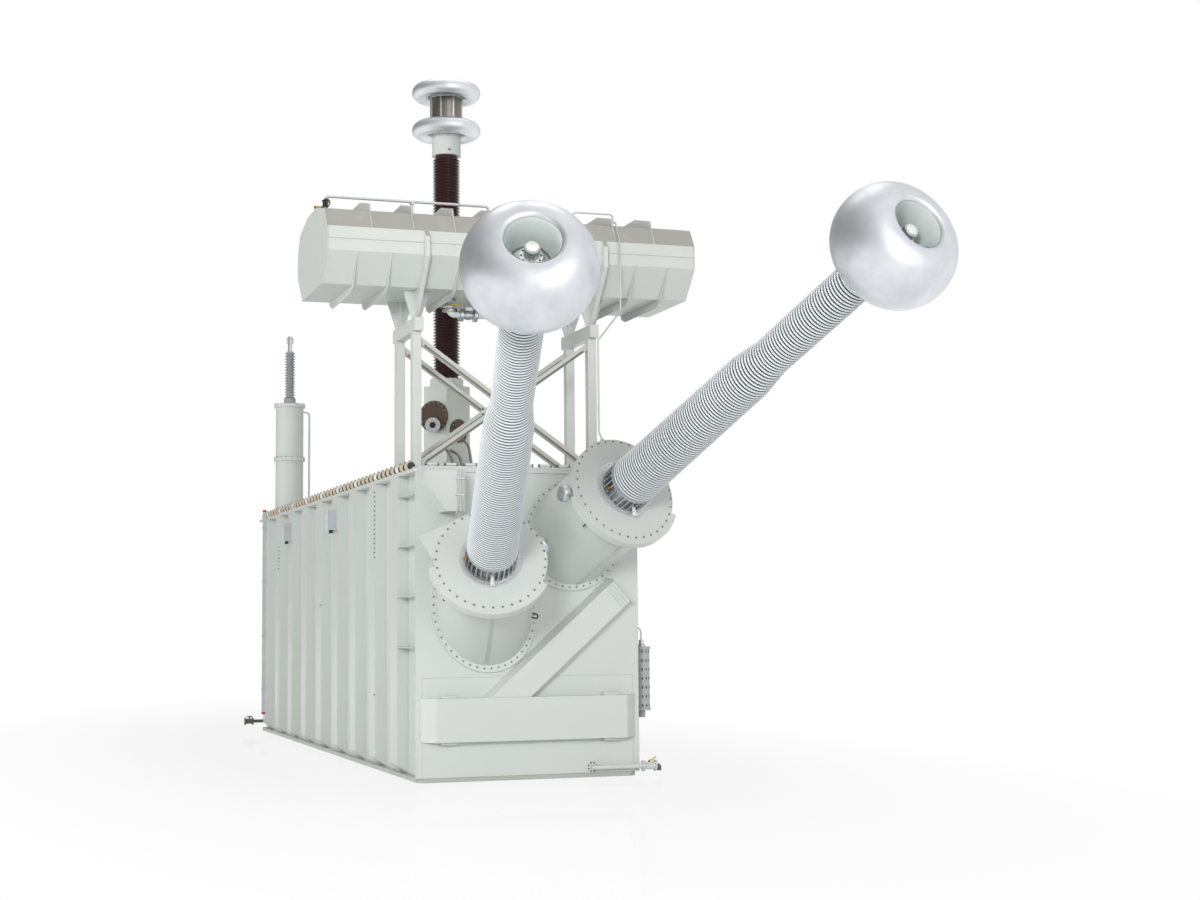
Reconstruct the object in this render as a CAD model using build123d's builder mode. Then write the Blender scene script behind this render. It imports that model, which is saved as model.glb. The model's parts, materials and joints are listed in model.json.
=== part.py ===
"""Converter power transformer: a long ribbed tank with two inclined valve bushings on its front wall."""
import os
from math import atan2, cos, degrees, hypot, radians, sin

from build123d import *

# Driving dimensions in millimetres, frame: X across the tank, -Y toward the valve bushings, Z up.

# Base and tank
base_rear_overhang = 80.0
base_side_overhang = 90.0
base_thickness = 60.0
base_corner_chamfer = 90.0
tank_length = 13480.0
tank_width = 2950.0
tank_height = 4140.0
front_plate_thickness = 40.0
front_plate_overhang = 125.0
doubler_height = 1340.0
doubler_thickness = 12.0
doubler_inset = 90.0
flange_overhang = 155.0
flange_end_overhang = 20.0
flange_thickness = 50.0
cover_thickness = 40.0
cover_inset = 70.0

# Box stiffeners on the long walls and the rear wall
stiffener_pitch = 1450.0
stiffener_front_offset = 960.0
stiffener_rear_margin = 300.0
stiffener_width = 460.0
stiffener_depth = 160.0
stiffener_foot_height = 130.0
rear_stiffener_count = 2
rear_stiffener_pitch = 1300.0

# Gussets between the foremost stiffeners and the front plate
gusset_count = 4
gusset_first_height = 1800.0
gusset_pitch = 700.0
gusset_thickness = 16.0

# Y-shaped box beam on the front wall
beam_bottom = 540.0
beam_height = 590.0
beam_side_inset = 60.0
beam_depth = 200.0
beam_bevel = 180.0
branch_foot_offset = -640.0
branch_top_offset = 1300.0
branch_top_height = 2565.0
branch_width = 375.0
branch_depth = 190.0
branch_bevel = 55.0
pulling_lug_length = 230.0
pulling_lug_reach = 130.0
pulling_lug_thickness = 35.0
pulling_lug_inset = 380.0
pulling_eye_radius = 35.0

# Sloping box on the front wall above the left turret
slope_box_left = -1590.0
slope_box_right = -1025.0
slope_box_bottom_left = -1275.0
slope_box_edge_height = 150.0
slope_box_height = 560.0
slope_box_depth = 450.0

# Valve bushing turrets: place on the front wall, direction and length
left_turret_offset = -640.0
left_turret_height = 2294.0
left_turret_turn = -11.1
left_turret_rise = 28.3
right_turret_offset = 675.0
right_turret_height = 3364.0
right_turret_turn = 12.7
right_turret_rise = 22.6
turret_length = 1360.0
turret_radius = 660.0
turret_base_flange_radius = 730.0
turret_base_flange_thickness = 35.0
turret_cover_radius = 745.0
turret_rim_radius = 815.0
turret_rim_start = -172.0
turret_rim_span = 145.0
turret_head_thickness = 60.0
turret_cover_thickness = 60.0
corner_plate_thickness = 30.0
corner_plate_reach = 1020.0
corner_plate_bearing = 155.0
corner_plate_turn = 26.0
corner_plate_length = 790.0
corner_plate_drop = 390.0
nozzle_station = 1170.0
nozzle_radius = 85.0
nozzle_reach = 95.0
left_nozzle_bearing = 27.0
right_nozzle_bearing = 177.5
nozzle_cap_radius = 115.0
nozzle_cap_length = 120.0
nozzle_cap_round = 70.0

# Valve bushings
bushing_flange_radius = 365.0
bushing_flange_thickness = 50.0
bushing_neck_radius = 275.0
bushing_neck_height = 250.0
bushing_collar_radius = 335.0
bushing_collar_thickness = 60.0
bushing_web_count = 28
bushing_web_thickness = 16.0
bushing_foot_radius = 335.0
bushing_lower_radius = 303.0
bushing_upper_radius = 248.0
shed_pitch = 51.5
shed_depth = 52.0
shed_lip = 15.0
bushing_lower_length = 2800.0
bushing_cone_length = 480.0
bushing_upper_length = 2530.0
bushing_cap_length = 40.0

# Corona shields of the valve bushings
shield_radius = 735.0
shield_half_height = 480.0
shield_crest_radius = 350.0
shield_throat_radius = 235.0
shield_throat_depth = 420.0
shield_wall = 14.0
terminal_radius = 85.0
terminal_length = 260.0

# Line bushing on its turret
line_offset = 0.0
line_setback = 4570.0
line_turret_width = 525.0
line_turret_turn = 30.0
line_turret_height = 1665.0
line_foot_radius = 430.0
line_foot_thickness = 35.0
line_branch_radius = 190.0
line_branch_reach = 200.0
line_branch_height = 1140.0
line_branch_turn = -40.0
branch_cover_radius = 250.0
branch_cover_thickness = 30.0
line_flange_radius = 270.0
line_flange_thickness = 115.0
line_bushing_radius = 220.0
line_bushing_length = 3693.0
line_shed_pitch = 50.0
line_shed_depth = 40.0
line_shed_lip = 14.0
line_collar_radius = 235.0
line_collar_height = 432.0
ring_tube_radius = 130.0
ring_outer_radius = 560.0
ring_support_radius = 260.0
ring_spacing = 632.0
ring_seat_radius = 310.0
ring_disc_thickness = 40.0

# Neutral bushing on its slim turret
neutral_side_inset = 310.0
neutral_rear_inset = 670.0
neutral_turret_radius = 275.0
neutral_turret_height = 2255.0
neutral_flange_radius = 310.0
neutral_flange_thickness = 70.0
neutral_mid_flange_height = 1100.0
neutral_base_radius = 120.0
neutral_base_height = 120.0
neutral_bushing_radius = 110.0
neutral_bushing_length = 960.0
neutral_shed_pitch = 56.0
neutral_shed_depth = 40.0
neutral_shed_lip = 12.0
neutral_terminal_radius = 45.0
neutral_terminal_length = 307.0

# Gantry that carries the conservator
leg_size = 130.0
leg_half_spacing = 1320.0
gantry_setback = 1150.0
gantry_depth = 1040.0
gantry_height = 2010.0
gantry_beam_height = 190.0
gantry_beam_overhang = 120.0
brace_width = 90.0
brace_thickness = 12.0
brace_foot_gap = 120.0
brace_head_gap = 120.0

# Conservator
conservator_length = 5460.0
conservator_depth = 2350.0
conservator_height = 1170.0
conservator_side_low = 410.0
conservator_side_high = 750.0
conservator_shoulder = 1020.0
conservator_bottom_half = 790.0
conservator_shoulder_half = 1000.0
conservator_top_half = 350.0
conservator_wall = 10.0
conservator_end_thickness = 12.0
saddle_height = 400.0
saddle_top_width = 380.0
saddle_bottom_width = 130.0
saddle_thickness = 40.0
strap_reach = 90.0
strap_thickness = 60.0
rib_height = 110.0
rib_thickness = 14.0
upper_rib_pitch = 600.0
upper_rib_count = 8
lower_rib_pitch = 490.0

# Pipes and fittings
vent_pipe_radius = 20.0
vent_pipe_rise = 250.0
vent_pipe_left = -2540.0
vent_pipe_right = -90.0
vent_post_offset = -1257.0
turret_vent_radius = 12.0
turret_vent_left = 1230.0
turret_vent_right = 1870.0
turret_vent_drop = 6620.0
turret_vent_knee = 5970.0
turret_vent_gap = 45.0
turret_vent_bend = 60.0
vent_eye_bearing = 98.0
vent_eye_radius = 30.0
vent_eye_height = 55.0
oil_pipe_radius = 45.0
oil_pipe_start = -700.0
oil_pipe_end = 250.0
oil_pipe_drop = 230.0
relay_radius = 110.0
relay_length = 260.0
relay_level = 5600.0
clamp_pitch = 290.0
clamp_width = 110.0
clamp_height = 110.0
clamp_reach = 70.0
clamp_end_margin = 250.0
breather_radius = 115.0
breather_height = 900.0
breather_bottom = 880.0
breather_setback = 450.0
breather_gap = 175.0
breather_bracket = 60.0
breather_cap_radius = 128.0
breather_cap_height = 35.0
breather_outlet_radius = 50.0
breather_outlet_length = 100.0
drain_radius = 32.0
drain_height = 140.0
drain_standoff = 120.0
drain_start = 900.0
drain_reach = 60.0
drain_flange_radius = 75.0
drain_flange_thickness = 25.0
drain_valve_length = 150.0
drain_valve_radius = 52.0
rear_drain_inset = 260.0
rear_drain_reach = 180.0
duct_width = 90.0
duct_depth = 60.0
duct_bottom = 360.0
duct_top = 4400.0
junction_box_width = 300.0
junction_box_height = 320.0
junction_box_depth = 140.0
junction_box_level = 3660.0

# Values worked out from the driving dimensions
base_length = front_plate_thickness + tank_length + base_rear_overhang
base_width = tank_width + 2 * base_side_overhang
front_plate_width = tank_width + 2 * front_plate_overhang
front_y = -base_length / 2
wall_y = front_y + front_plate_thickness
rear_y = wall_y + tank_length
side_x = tank_width / 2
stiffener_x = side_x + stiffener_depth
tank_top = base_thickness + tank_height
cover_bottom = tank_top + flange_thickness
cover_top = cover_bottom + cover_thickness
leg_front_y = front_y + gantry_setback
leg_back_y = leg_front_y + gantry_depth
gantry_y = (leg_front_y + leg_back_y) / 2
gantry_top = cover_top + gantry_height
conservator_bottom = gantry_top + gantry_beam_height + saddle_height
line_y = front_y + line_setback
neutral_offset = -side_x + neutral_side_inset
neutral_y = rear_y - neutral_rear_inset
front_plane = Plane(origin=(0, front_y, 0), x_dir=(1, 0, 0), z_dir=(0, -1, 0))

os.makedirs("parts", exist_ok=True)


def save(piece, name):
    piece.part.label = name
    export_step(piece.part, f"parts/{name}.step")


# Base plate under the tank
with BuildPart() as base_plate:
    with BuildSketch():
        Rectangle(base_width, base_length)
        chamfer(vertices(), base_corner_chamfer)
    extrude(amount=base_thickness)
save(base_plate, "base_plate")

# Tank body, closed housing round the windings
with BuildPart() as tank_body:
    with BuildSketch(Plane.XY.offset(base_thickness)):
        with Locations((0, (wall_y + rear_y) / 2)):
            Rectangle(tank_width, tank_length)
    extrude(amount=tank_height)
save(tank_body, "tank_body")

# Front plate that carries the turrets
with BuildPart() as front_plate:
    with BuildSketch(Plane.XY.offset(base_thickness)):
        with Locations((0, front_y + front_plate_thickness / 2)):
            Rectangle(front_plate_width, front_plate_thickness)
    extrude(amount=tank_height)
    with BuildSketch(front_plane):
        with Locations((0, base_thickness + doubler_height / 2)):
            Rectangle(front_plate_width - 2 * doubler_inset, doubler_height)
    extrude(amount=doubler_thickness)
save(front_plate, "front_plate")

# Top flange round the tank, and the cover plate on it
flange_width = tank_width + 2 * flange_overhang
flange_front = front_y - flange_end_overhang
flange_rear = rear_y + flange_overhang
with BuildPart() as tank_flange:
    with BuildSketch(Plane.XY.offset(tank_top)):
        with Locations((0, (flange_front + flange_rear) / 2)):
            Rectangle(flange_width, flange_rear - flange_front)
    extrude(amount=flange_thickness)
save(tank_flange, "tank_flange")

with BuildPart() as cover_plate:
    with BuildSketch(Plane.XY.offset(cover_bottom)):
        with Locations((0, (flange_front + flange_rear) / 2)):
            Rectangle(flange_width - 2 * cover_inset, flange_rear - flange_front - 2 * cover_inset)
    extrude(amount=cover_thickness)
save(cover_plate, "cover_plate")


# Box stiffeners: a profile seen along the wall with a sloped foot, extruded to the box's width
stiffener_first = front_y + stiffener_front_offset + stiffener_width / 2
stiffener_last = rear_y - stiffener_rear_margin - stiffener_width / 2
stiffener_count = int((stiffener_last - stiffener_first) // stiffener_pitch) + 1
stiffener_ys = [stiffener_first + i * stiffener_pitch for i in range(stiffener_count)]
rear_stiffener_first = -(rear_stiffener_count - 1) / 2 * rear_stiffener_pitch
rear_stiffener_xs = [rear_stiffener_first + i * rear_stiffener_pitch for i in range(rear_stiffener_count)]
stiffener_planes = {
    "left_stiffeners": [
        Plane(origin=(-side_x, y, 0), x_dir=(-1, 0, 0), z_dir=(0, 1, 0)) for y in stiffener_ys
    ],
    "right_stiffeners": [
        Plane(origin=(side_x, y, 0), x_dir=(1, 0, 0), z_dir=(0, -1, 0)) for y in stiffener_ys
    ],
    "rear_stiffeners": [
        Plane(origin=(x, rear_y, 0), x_dir=(0, 1, 0), z_dir=(1, 0, 0)) for x in rear_stiffener_xs
    ],
}
for name, planes in stiffener_planes.items():
    with BuildPart() as stiffeners:
        for plane in planes:
            with BuildSketch(plane):
                with BuildLine():
                    Polyline(
                        (0, base_thickness),
                        (0, tank_top),
                        (stiffener_depth, tank_top),
                        (stiffener_depth, base_thickness + stiffener_foot_height),
                        close=True,
                    )
                make_face()
            extrude(amount=stiffener_width / 2, both=True)
    save(stiffeners, name)

# Gussets in the corner pockets behind the front plate
gusset_reach = stiffener_front_offset - front_plate_thickness
with BuildPart() as corner_gussets:
    for i in range(gusset_count):
        with BuildSketch(Plane.XY.offset(gusset_first_height + i * gusset_pitch)):
            for sign in (-1, 1):
                with BuildLine():
                    Polyline(
                        (sign * side_x, wall_y),
                        (sign * front_plate_width / 2, wall_y),
                        (sign * stiffener_x, wall_y + gusset_reach),
                        (sign * side_x, wall_y + gusset_reach),
                        close=True,
                    )
                make_face()
        extrude(amount=gusset_thickness)
save(corner_gussets, "corner_gussets")

# Y-shaped box beam on the front plate: a level beam with bevelled ends and a rising branch
branch_foot = (branch_foot_offset, beam_bottom + beam_height / 2)
branch_top = (branch_top_offset, branch_top_height)
branch_run = branch_top[0] - branch_foot[0]
branch_lift = branch_top[1] - branch_foot[1]
branch_length = hypot(branch_run, branch_lift)
branch_plane = Plane(
    origin=(branch_foot[0], front_y, branch_foot[1]), x_dir=(0, -1, 0), z_dir=(branch_run, 0, branch_lift)
)
beam_length = front_plate_width - 2 * beam_side_inset
lug_x = beam_length / 2 - pulling_lug_inset
lug_y = front_y - pulling_lug_reach / 2
with BuildPart() as front_beam:
    with BuildSketch(Plane.XY.offset(beam_bottom)):
        with BuildLine():
            Polyline(
                (-beam_length / 2, front_y),
                (-beam_length / 2 + beam_bevel, front_y - beam_depth),
                (beam_length / 2 - beam_bevel, front_y - beam_depth),
                (beam_length / 2, front_y),
                close=True,
            )
        make_face()
    extrude(amount=beam_height)
    with BuildSketch(branch_plane):
        with BuildLine():
            Polyline(
                (0, -branch_width / 2 - branch_bevel),
                (branch_depth, -branch_width / 2),
                (branch_depth, branch_width / 2),
                (0, branch_width / 2),
                close=True,
            )
        make_face()
    extrude(amount=branch_length)
    for level in (beam_bottom - pulling_lug_thickness, beam_bottom + beam_height):
        with BuildSketch(Plane.XY.offset(level)):
            with Locations((-lug_x, lug_y), (lug_x, lug_y)):
                Rectangle(pulling_lug_length, pulling_lug_reach)
                Circle(pulling_eye_radius, mode=Mode.SUBTRACT)
        extrude(amount=pulling_lug_thickness)
    with BuildSketch(front_plane):
        with Locations((0, base_thickness + doubler_height / 2)):
            Rectangle(front_plate_width - 2 * doubler_inset, doubler_height)
    extrude(amount=doubler_thickness, mode=Mode.SUBTRACT)
save(front_beam, "front_beam")

# Sloping box under the flange, above the left turret
slope_box_bottom = tank_top - slope_box_height
with BuildPart() as slope_box:
    with BuildSketch(front_plane):
        with BuildLine():
            Polyline(
                (slope_box_left, tank_top),
                (slope_box_left, tank_top - slope_box_edge_height),
                (slope_box_bottom_left, slope_box_bottom),
                (slope_box_right, slope_box_bottom),
                (slope_box_right, tank_top),
                close=True,
            )
        make_face()
    extrude(amount=slope_box_depth)
save(slope_box, "slope_box")


# Valve bushing assemblies, built on a plane whose normal is the bushing's own axis
def turret_plane(offset, height, turn, rise):
    level = cos(radians(rise))
    axis = (sin(radians(turn)) * level, -cos(radians(turn)) * level, sin(radians(rise)))
    across = (cos(radians(turn)), sin(radians(turn)), 0)
    return Plane(origin=(offset, front_y, height), x_dir=across, z_dir=axis)


def bearing(plane, angle):
    return plane.x_dir * cos(radians(angle)) + plane.y_dir * sin(radians(angle))


def shed_points(start, count, pitch, lip, depth, tip_radius):
    points = []
    for i in range(count):
        root = start + i * pitch
        points.append((tip_radius(root) - depth, root))
        points.append((tip_radius(root + lip), root + lip))
    return points


valve_planes = {
    "left": turret_plane(left_turret_offset, left_turret_height, left_turret_turn, left_turret_rise),
    "right": turret_plane(right_turret_offset, right_turret_height, right_turret_turn, right_turret_rise),
}
cover_face = turret_length + turret_cover_thickness
flange_face = cover_face + bushing_flange_thickness
sheds_start = flange_face + bushing_neck_height
cone_start = sheds_start + bushing_lower_length
cone_end = cone_start + bushing_cone_length
bushing_end = cone_end + bushing_upper_length
shield_centre = bushing_end + shield_throat_depth - shield_half_height
shed_count = int((bushing_end - bushing_cap_length - sheds_start) // shed_pitch)
nozzle_bearings = {"left": left_nozzle_bearing, "right": right_nozzle_bearing}


def valve_shed_radius(station):
    if station < cone_start:
        share = (station - sheds_start) / bushing_lower_length
        return bushing_foot_radius + share * (bushing_lower_radius - bushing_foot_radius)
    share = min((station - cone_start) / bushing_cone_length, 1)
    return bushing_lower_radius + share * (bushing_upper_radius - bushing_lower_radius)


# Outline shared by a turret's head and its cover: a disc with a wider rim round its lower part
with BuildSketch() as head_outline:
    Circle(turret_cover_radius)
    with BuildLine():
        rim = CenterArc((0, 0), turret_rim_radius, turret_rim_start, turret_rim_span)
        Line(rim @ 1, (0, 0))
        Line((0, 0), rim @ 0)
    make_face()

valve_sheds = shed_points(sheds_start, shed_count, shed_pitch, shed_lip, shed_depth, valve_shed_radius)
web_length = bushing_collar_radius - bushing_neck_radius + bushing_web_thickness

for side, plane in valve_planes.items():
    profile_plane = Plane(origin=plane.origin, x_dir=plane.x_dir, z_dir=-plane.y_dir)
    axis = Axis(plane.origin, plane.z_dir)

    with BuildPart() as turret:
        with BuildSketch(plane.offset(-turret_length)):
            Circle(turret_radius)
        extrude(amount=2 * turret_length)
        with BuildSketch(plane.offset(turret_length - turret_head_thickness)):
            add(head_outline.sketch)
        extrude(amount=turret_head_thickness)
        nozzle_root = plane.origin + plane.z_dir * nozzle_station
        with BuildSketch(Plane(origin=nozzle_root, z_dir=bearing(plane, nozzle_bearings[side]))):
            Circle(nozzle_radius)
        extrude(amount=turret_radius + nozzle_reach)
        split(bisect_by=front_plane, keep=Keep.TOP)
        lean = plane.z_dir
        with BuildSketch(Plane(origin=plane.origin, x_dir=(1, 0, 0), z_dir=(0, -1, 0))):
            Ellipse(
                turret_base_flange_radius / abs(lean.Y),
                turret_base_flange_radius,
                rotation=degrees(atan2(lean.Z, lean.X)),
            )
        extrude(amount=turret_base_flange_thickness)
        if side == "left":
            plate_corner = bearing(Plane.XY, corner_plate_bearing) * corner_plate_reach
            along = bearing(Plane.XY, corner_plate_turn)
            down = bearing(Plane.XY, corner_plate_turn - 90)
            with BuildSketch(plane.offset(turret_length - turret_head_thickness - corner_plate_thickness)):
                with BuildLine():
                    Polyline(
                        plate_corner,
                        plate_corner + along * corner_plate_length,
                        (0, 0),
                        plate_corner + down * corner_plate_drop,
                        close=True,
                    )
                make_face()
            extrude(amount=corner_plate_thickness)
        if side == "right":
            eye = plane.origin + plane.z_dir * (turret_length - turret_head_thickness / 2)
            with BuildSketch(Plane(origin=eye, z_dir=bearing(plane, vent_eye_bearing))):
                Circle(vent_eye_radius)
            extrude(amount=turret_cover_radius + vent_eye_height)
    save(turret, f"{side}_turret")

    with BuildPart() as turret_cover:
        with BuildSketch(plane.offset(turret_length)):
            add(head_outline.sketch)
        extrude(amount=turret_cover_thickness)
    save(turret_cover, f"{side}_turret_cover")

    with BuildPart() as bushing_flange:
        with BuildSketch(plane.offset(cover_face)):
            Circle(bushing_flange_radius)
        extrude(amount=bushing_flange_thickness)
        with BuildSketch(plane.offset(flange_face)):
            Circle(bushing_neck_radius)
        extrude(amount=bushing_neck_height)
        with BuildSketch(plane.offset(flange_face)):
            with PolarLocations((bushing_neck_radius + bushing_collar_radius) / 2, bushing_web_count):
                Rectangle(web_length, bushing_web_thickness)
        extrude(amount=bushing_neck_height - bushing_collar_thickness)
        with BuildSketch(plane.offset(sheds_start - bushing_collar_thickness)):
            Circle(bushing_collar_radius)
        extrude(amount=bushing_collar_thickness)
    save(bushing_flange, f"{side}_bushing_flange")

    with BuildPart() as bushing:
        with BuildSketch(profile_plane):
            with BuildLine():
                Polyline(
                    (0, sheds_start),
                    *valve_sheds,
                    (bushing_upper_radius, sheds_start + shed_count * shed_pitch),
                    (bushing_upper_radius, bushing_end),
                    (0, bushing_end),
                    close=True,
                )
            make_face()
        revolve(axis=axis)
    save(bushing, f"{side}_bushing")

    # Spun shield: an outer bulge, a rolled lip and a throat, one wall thick, open round the bushing
    with BuildPart() as shield:
        with BuildSketch(profile_plane.shift_origin(plane.origin + plane.z_dir * shield_centre)):
            with BuildLine():
                bulge = EllipticalCenterArc(
                    (shield_crest_radius, 0),
                    shield_radius - shield_crest_radius,
                    shield_half_height,
                    start_angle=-90,
                    arc_size=180,
                )
                lip = EllipticalCenterArc(
                    (shield_crest_radius, shield_half_height - shield_throat_depth),
                    shield_crest_radius - shield_throat_radius,
                    shield_throat_depth,
                    start_angle=90,
                    arc_size=90,
                )
                Line(lip @ 1, (shield_throat_radius + shield_wall, shield_half_height - shield_throat_depth))
                inner_lip = EllipticalCenterArc(
                    (shield_crest_radius, shield_half_height - shield_throat_depth),
                    shield_crest_radius - shield_throat_radius - shield_wall,
                    shield_throat_depth - shield_wall,
                    start_angle=90,
                    arc_size=90,
                )
                inner_bulge = EllipticalCenterArc(
                    (shield_crest_radius, 0),
                    shield_radius - shield_crest_radius - shield_wall,
                    shield_half_height - shield_wall,
                    start_angle=-90,
                    arc_size=180,
                )
                Line(inner_bulge @ 0, bulge @ 0)
            make_face()
        revolve(axis=axis)
    save(shield, f"{side}_shield")

    # Terminal stud in the shield's throat
    with BuildPart() as terminal:
        with BuildSketch(plane.offset(bushing_end)):
            Circle(terminal_radius)
        extrude(amount=terminal_length)
    save(terminal, f"{side}_terminal")

# Domed caps that close the nozzles on the turrets' sides
with BuildPart() as nozzle_caps:
    for side, plane in valve_planes.items():
        outward = bearing(plane, nozzle_bearings[side])
        seat = plane.origin + plane.z_dir * nozzle_station + outward * (turret_radius + nozzle_reach)
        with BuildSketch(Plane(origin=seat, z_dir=outward)):
            Circle(nozzle_cap_radius)
        extrude(amount=nozzle_cap_length)
        outer_edge = edges(Select.LAST).filter_by(GeomType.CIRCLE).sort_by(Axis(seat, outward))[-1]
        fillet(outer_edge, nozzle_cap_round)
save(nozzle_caps, "nozzle_caps")

# Line bushing: square turret set at an angle on the cover, flange, porcelain, collar and two corona rings
line_turret_top = cover_top + line_turret_height
line_flange_top = line_turret_top + line_flange_thickness
line_bushing_top = line_flange_top + line_bushing_length
line_collar_top = line_bushing_top + line_collar_height
line_branch_out = (sin(radians(line_branch_turn)), -cos(radians(line_branch_turn)), 0)
line_branch_plane = Plane(origin=(line_offset, line_y, cover_top + line_branch_height), z_dir=line_branch_out)
line_branch_length = line_turret_width / 2 + line_branch_reach
with BuildPart() as line_turret:
    with BuildSketch(Plane.XY.offset(cover_top)):
        with Locations((line_offset, line_y)):
            Rectangle(line_turret_width, line_turret_width, rotation=line_turret_turn)
    extrude(amount=line_turret_height)
    with BuildSketch(Plane.XY.offset(cover_top)):
        with Locations((line_offset, line_y)):
            Circle(line_foot_radius)
    extrude(amount=line_foot_thickness)
    with BuildSketch(line_branch_plane):
        Circle(line_branch_radius)
    extrude(amount=line_branch_length)
    with BuildSketch(Plane.XY.offset(line_turret_top)):
        with Locations((line_offset, line_y)):
            Circle(line_flange_radius)
    extrude(amount=line_flange_thickness)
save(line_turret, "line_turret")

with BuildPart() as branch_cover:
    with BuildSketch(line_branch_plane.offset(line_branch_length)):
        Circle(branch_cover_radius)
    extrude(amount=branch_cover_thickness)
save(branch_cover, "branch_cover")

line_shed_count = int(line_bushing_length // line_shed_pitch)
line_root = line_bushing_radius - line_shed_depth
line_sheds = shed_points(
    line_flange_top,
    line_shed_count,
    line_shed_pitch,
    line_shed_lip,
    line_shed_depth,
    lambda z: line_bushing_radius,
)
line_plane = Plane(origin=(line_offset, line_y, 0), x_dir=(1, 0, 0), z_dir=(0, -1, 0))
line_axis = Axis((line_offset, line_y, 0), (0, 0, 1))
with BuildPart() as line_bushing:
    with BuildSketch(line_plane):
        with BuildLine():
            Polyline(
                (0, line_flange_top),
                *line_sheds,
                (line_root, line_flange_top + line_shed_count * line_shed_pitch),
                (line_root, line_bushing_top),
                (0, line_bushing_top),
                close=True,
            )
        make_face()
    revolve(axis=line_axis)
save(line_bushing, "line_bushing")

with BuildPart() as line_collar:
    with BuildSketch(Plane.XY.offset(line_bushing_top)):
        with Locations((line_offset, line_y)):
            Circle(line_collar_radius)
    extrude(amount=line_collar_height)
    with BuildSketch(Plane.XY.offset(line_collar_top)):
        with Locations((line_offset, line_y)):
            Circle(ring_support_radius)
    extrude(amount=ring_spacing)
    for level in (line_collar_top, line_collar_top + ring_spacing):
        with BuildSketch(Plane.XY.offset(level - ring_disc_thickness / 2)):
            with Locations((line_offset, line_y)):
                Circle(ring_seat_radius)
        extrude(amount=ring_disc_thickness)
save(line_collar, "line_collar")

with BuildPart() as corona_rings:
    with BuildSketch(line_plane):
        for level in (line_collar_top, line_collar_top + ring_spacing):
            with Locations((ring_outer_radius - ring_tube_radius, level)):
                Circle(ring_tube_radius)
            with Locations((0, level)):
                Rectangle(2 * ring_seat_radius, 2 * ring_tube_radius, mode=Mode.SUBTRACT)
    revolve(axis=line_axis)
save(corona_rings, "corona_rings")

# Neutral bushing: slim round turret in two flanged sections, porcelain and stud
neutral_top = cover_top + neutral_turret_height
with BuildPart() as neutral_turret:
    with BuildSketch(Plane.XY.offset(cover_top)):
        with Locations((neutral_offset, neutral_y)):
            Circle(neutral_turret_radius)
    extrude(amount=neutral_turret_height)
    for level in (0, neutral_mid_flange_height, neutral_turret_height - neutral_flange_thickness):
        with BuildSketch(Plane.XY.offset(cover_top + level)):
            with Locations((neutral_offset, neutral_y)):
                Circle(neutral_flange_radius)
        extrude(amount=neutral_flange_thickness)
save(neutral_turret, "neutral_turret")

neutral_sheds_start = neutral_top + neutral_base_height
neutral_bushing_top = neutral_sheds_start + neutral_bushing_length
neutral_shed_count = int(neutral_bushing_length // neutral_shed_pitch)
neutral_root = neutral_bushing_radius - neutral_shed_depth
neutral_sheds = shed_points(
    neutral_sheds_start,
    neutral_shed_count,
    neutral_shed_pitch,
    neutral_shed_lip,
    neutral_shed_depth,
    lambda z: neutral_bushing_radius,
)
with BuildPart() as neutral_bushing:
    with BuildSketch(Plane(origin=(neutral_offset, neutral_y, 0), x_dir=(1, 0, 0), z_dir=(0, -1, 0))):
        with BuildLine():
            Polyline(
                (0, neutral_top),
                (neutral_base_radius, neutral_top),
                (neutral_base_radius, neutral_sheds_start),
                *neutral_sheds,
                (neutral_root, neutral_sheds_start + neutral_shed_count * neutral_shed_pitch),
                (neutral_root, neutral_bushing_top),
                (0, neutral_bushing_top),
                close=True,
            )
        make_face()
    revolve(axis=Axis((neutral_offset, neutral_y, 0), (0, 0, 1)))
save(neutral_bushing, "neutral_bushing")

with BuildPart() as neutral_terminal:
    with BuildSketch(Plane.XY.offset(neutral_bushing_top)):
        with Locations((neutral_offset, neutral_y)):
            Circle(neutral_terminal_radius)
    extrude(amount=neutral_terminal_length)
save(neutral_terminal, "neutral_terminal")

# Gantry: four legs, two beams along the tank, a crossed brace between the legs at front and back
with BuildPart() as gantry_legs:
    with BuildSketch(Plane.XY.offset(cover_top)):
        with Locations((0, gantry_y)):
            with GridLocations(2 * leg_half_spacing, gantry_depth, 2, 2):
                Rectangle(leg_size, leg_size)
    extrude(amount=gantry_height)
save(gantry_legs, "gantry_legs")

with BuildPart() as gantry_beams:
    with BuildSketch(Plane.XY.offset(gantry_top)):
        with Locations((0, gantry_y)):
            with GridLocations(2 * leg_half_spacing, 0, 2, 1):
                Rectangle(leg_size, gantry_depth + leg_size + 2 * gantry_beam_overhang)
    extrude(amount=gantry_beam_height)
save(gantry_beams, "gantry_beams")

brace_run = 2 * leg_half_spacing - leg_size
brace_low = cover_top + brace_foot_gap
brace_high = gantry_top - brace_head_gap
brace_lift = brace_high - brace_low
brace_middle = (brace_low + brace_high) / 2
brace_length = hypot(brace_run, brace_lift)
for name, y in (("front_brace", leg_front_y), ("back_brace", leg_back_y)):
    with BuildPart() as brace:
        for sign in (-1, 1):
            brace_plane = Plane(
                origin=(0, y, brace_middle), x_dir=(brace_run, 0, sign * brace_lift), z_dir=(0, -1, 0)
            )
            with BuildSketch(brace_plane):
                Rectangle(2 * brace_length, brace_width)
            extrude(amount=brace_thickness)
            with BuildSketch(brace_plane):
                with Locations((0, (brace_thickness - brace_width) / 2)):
                    Rectangle(2 * brace_length, brace_thickness)
            extrude(amount=brace_width - brace_thickness, dir=(0, 1, 0))
        with BuildSketch(Plane.XZ.offset(-y)):
            with Locations((0, brace_middle)):
                Rectangle(brace_run, 2 * brace_lift)
        extrude(amount=brace_width, both=True, mode=Mode.INTERSECT)
    save(brace, name)

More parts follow.
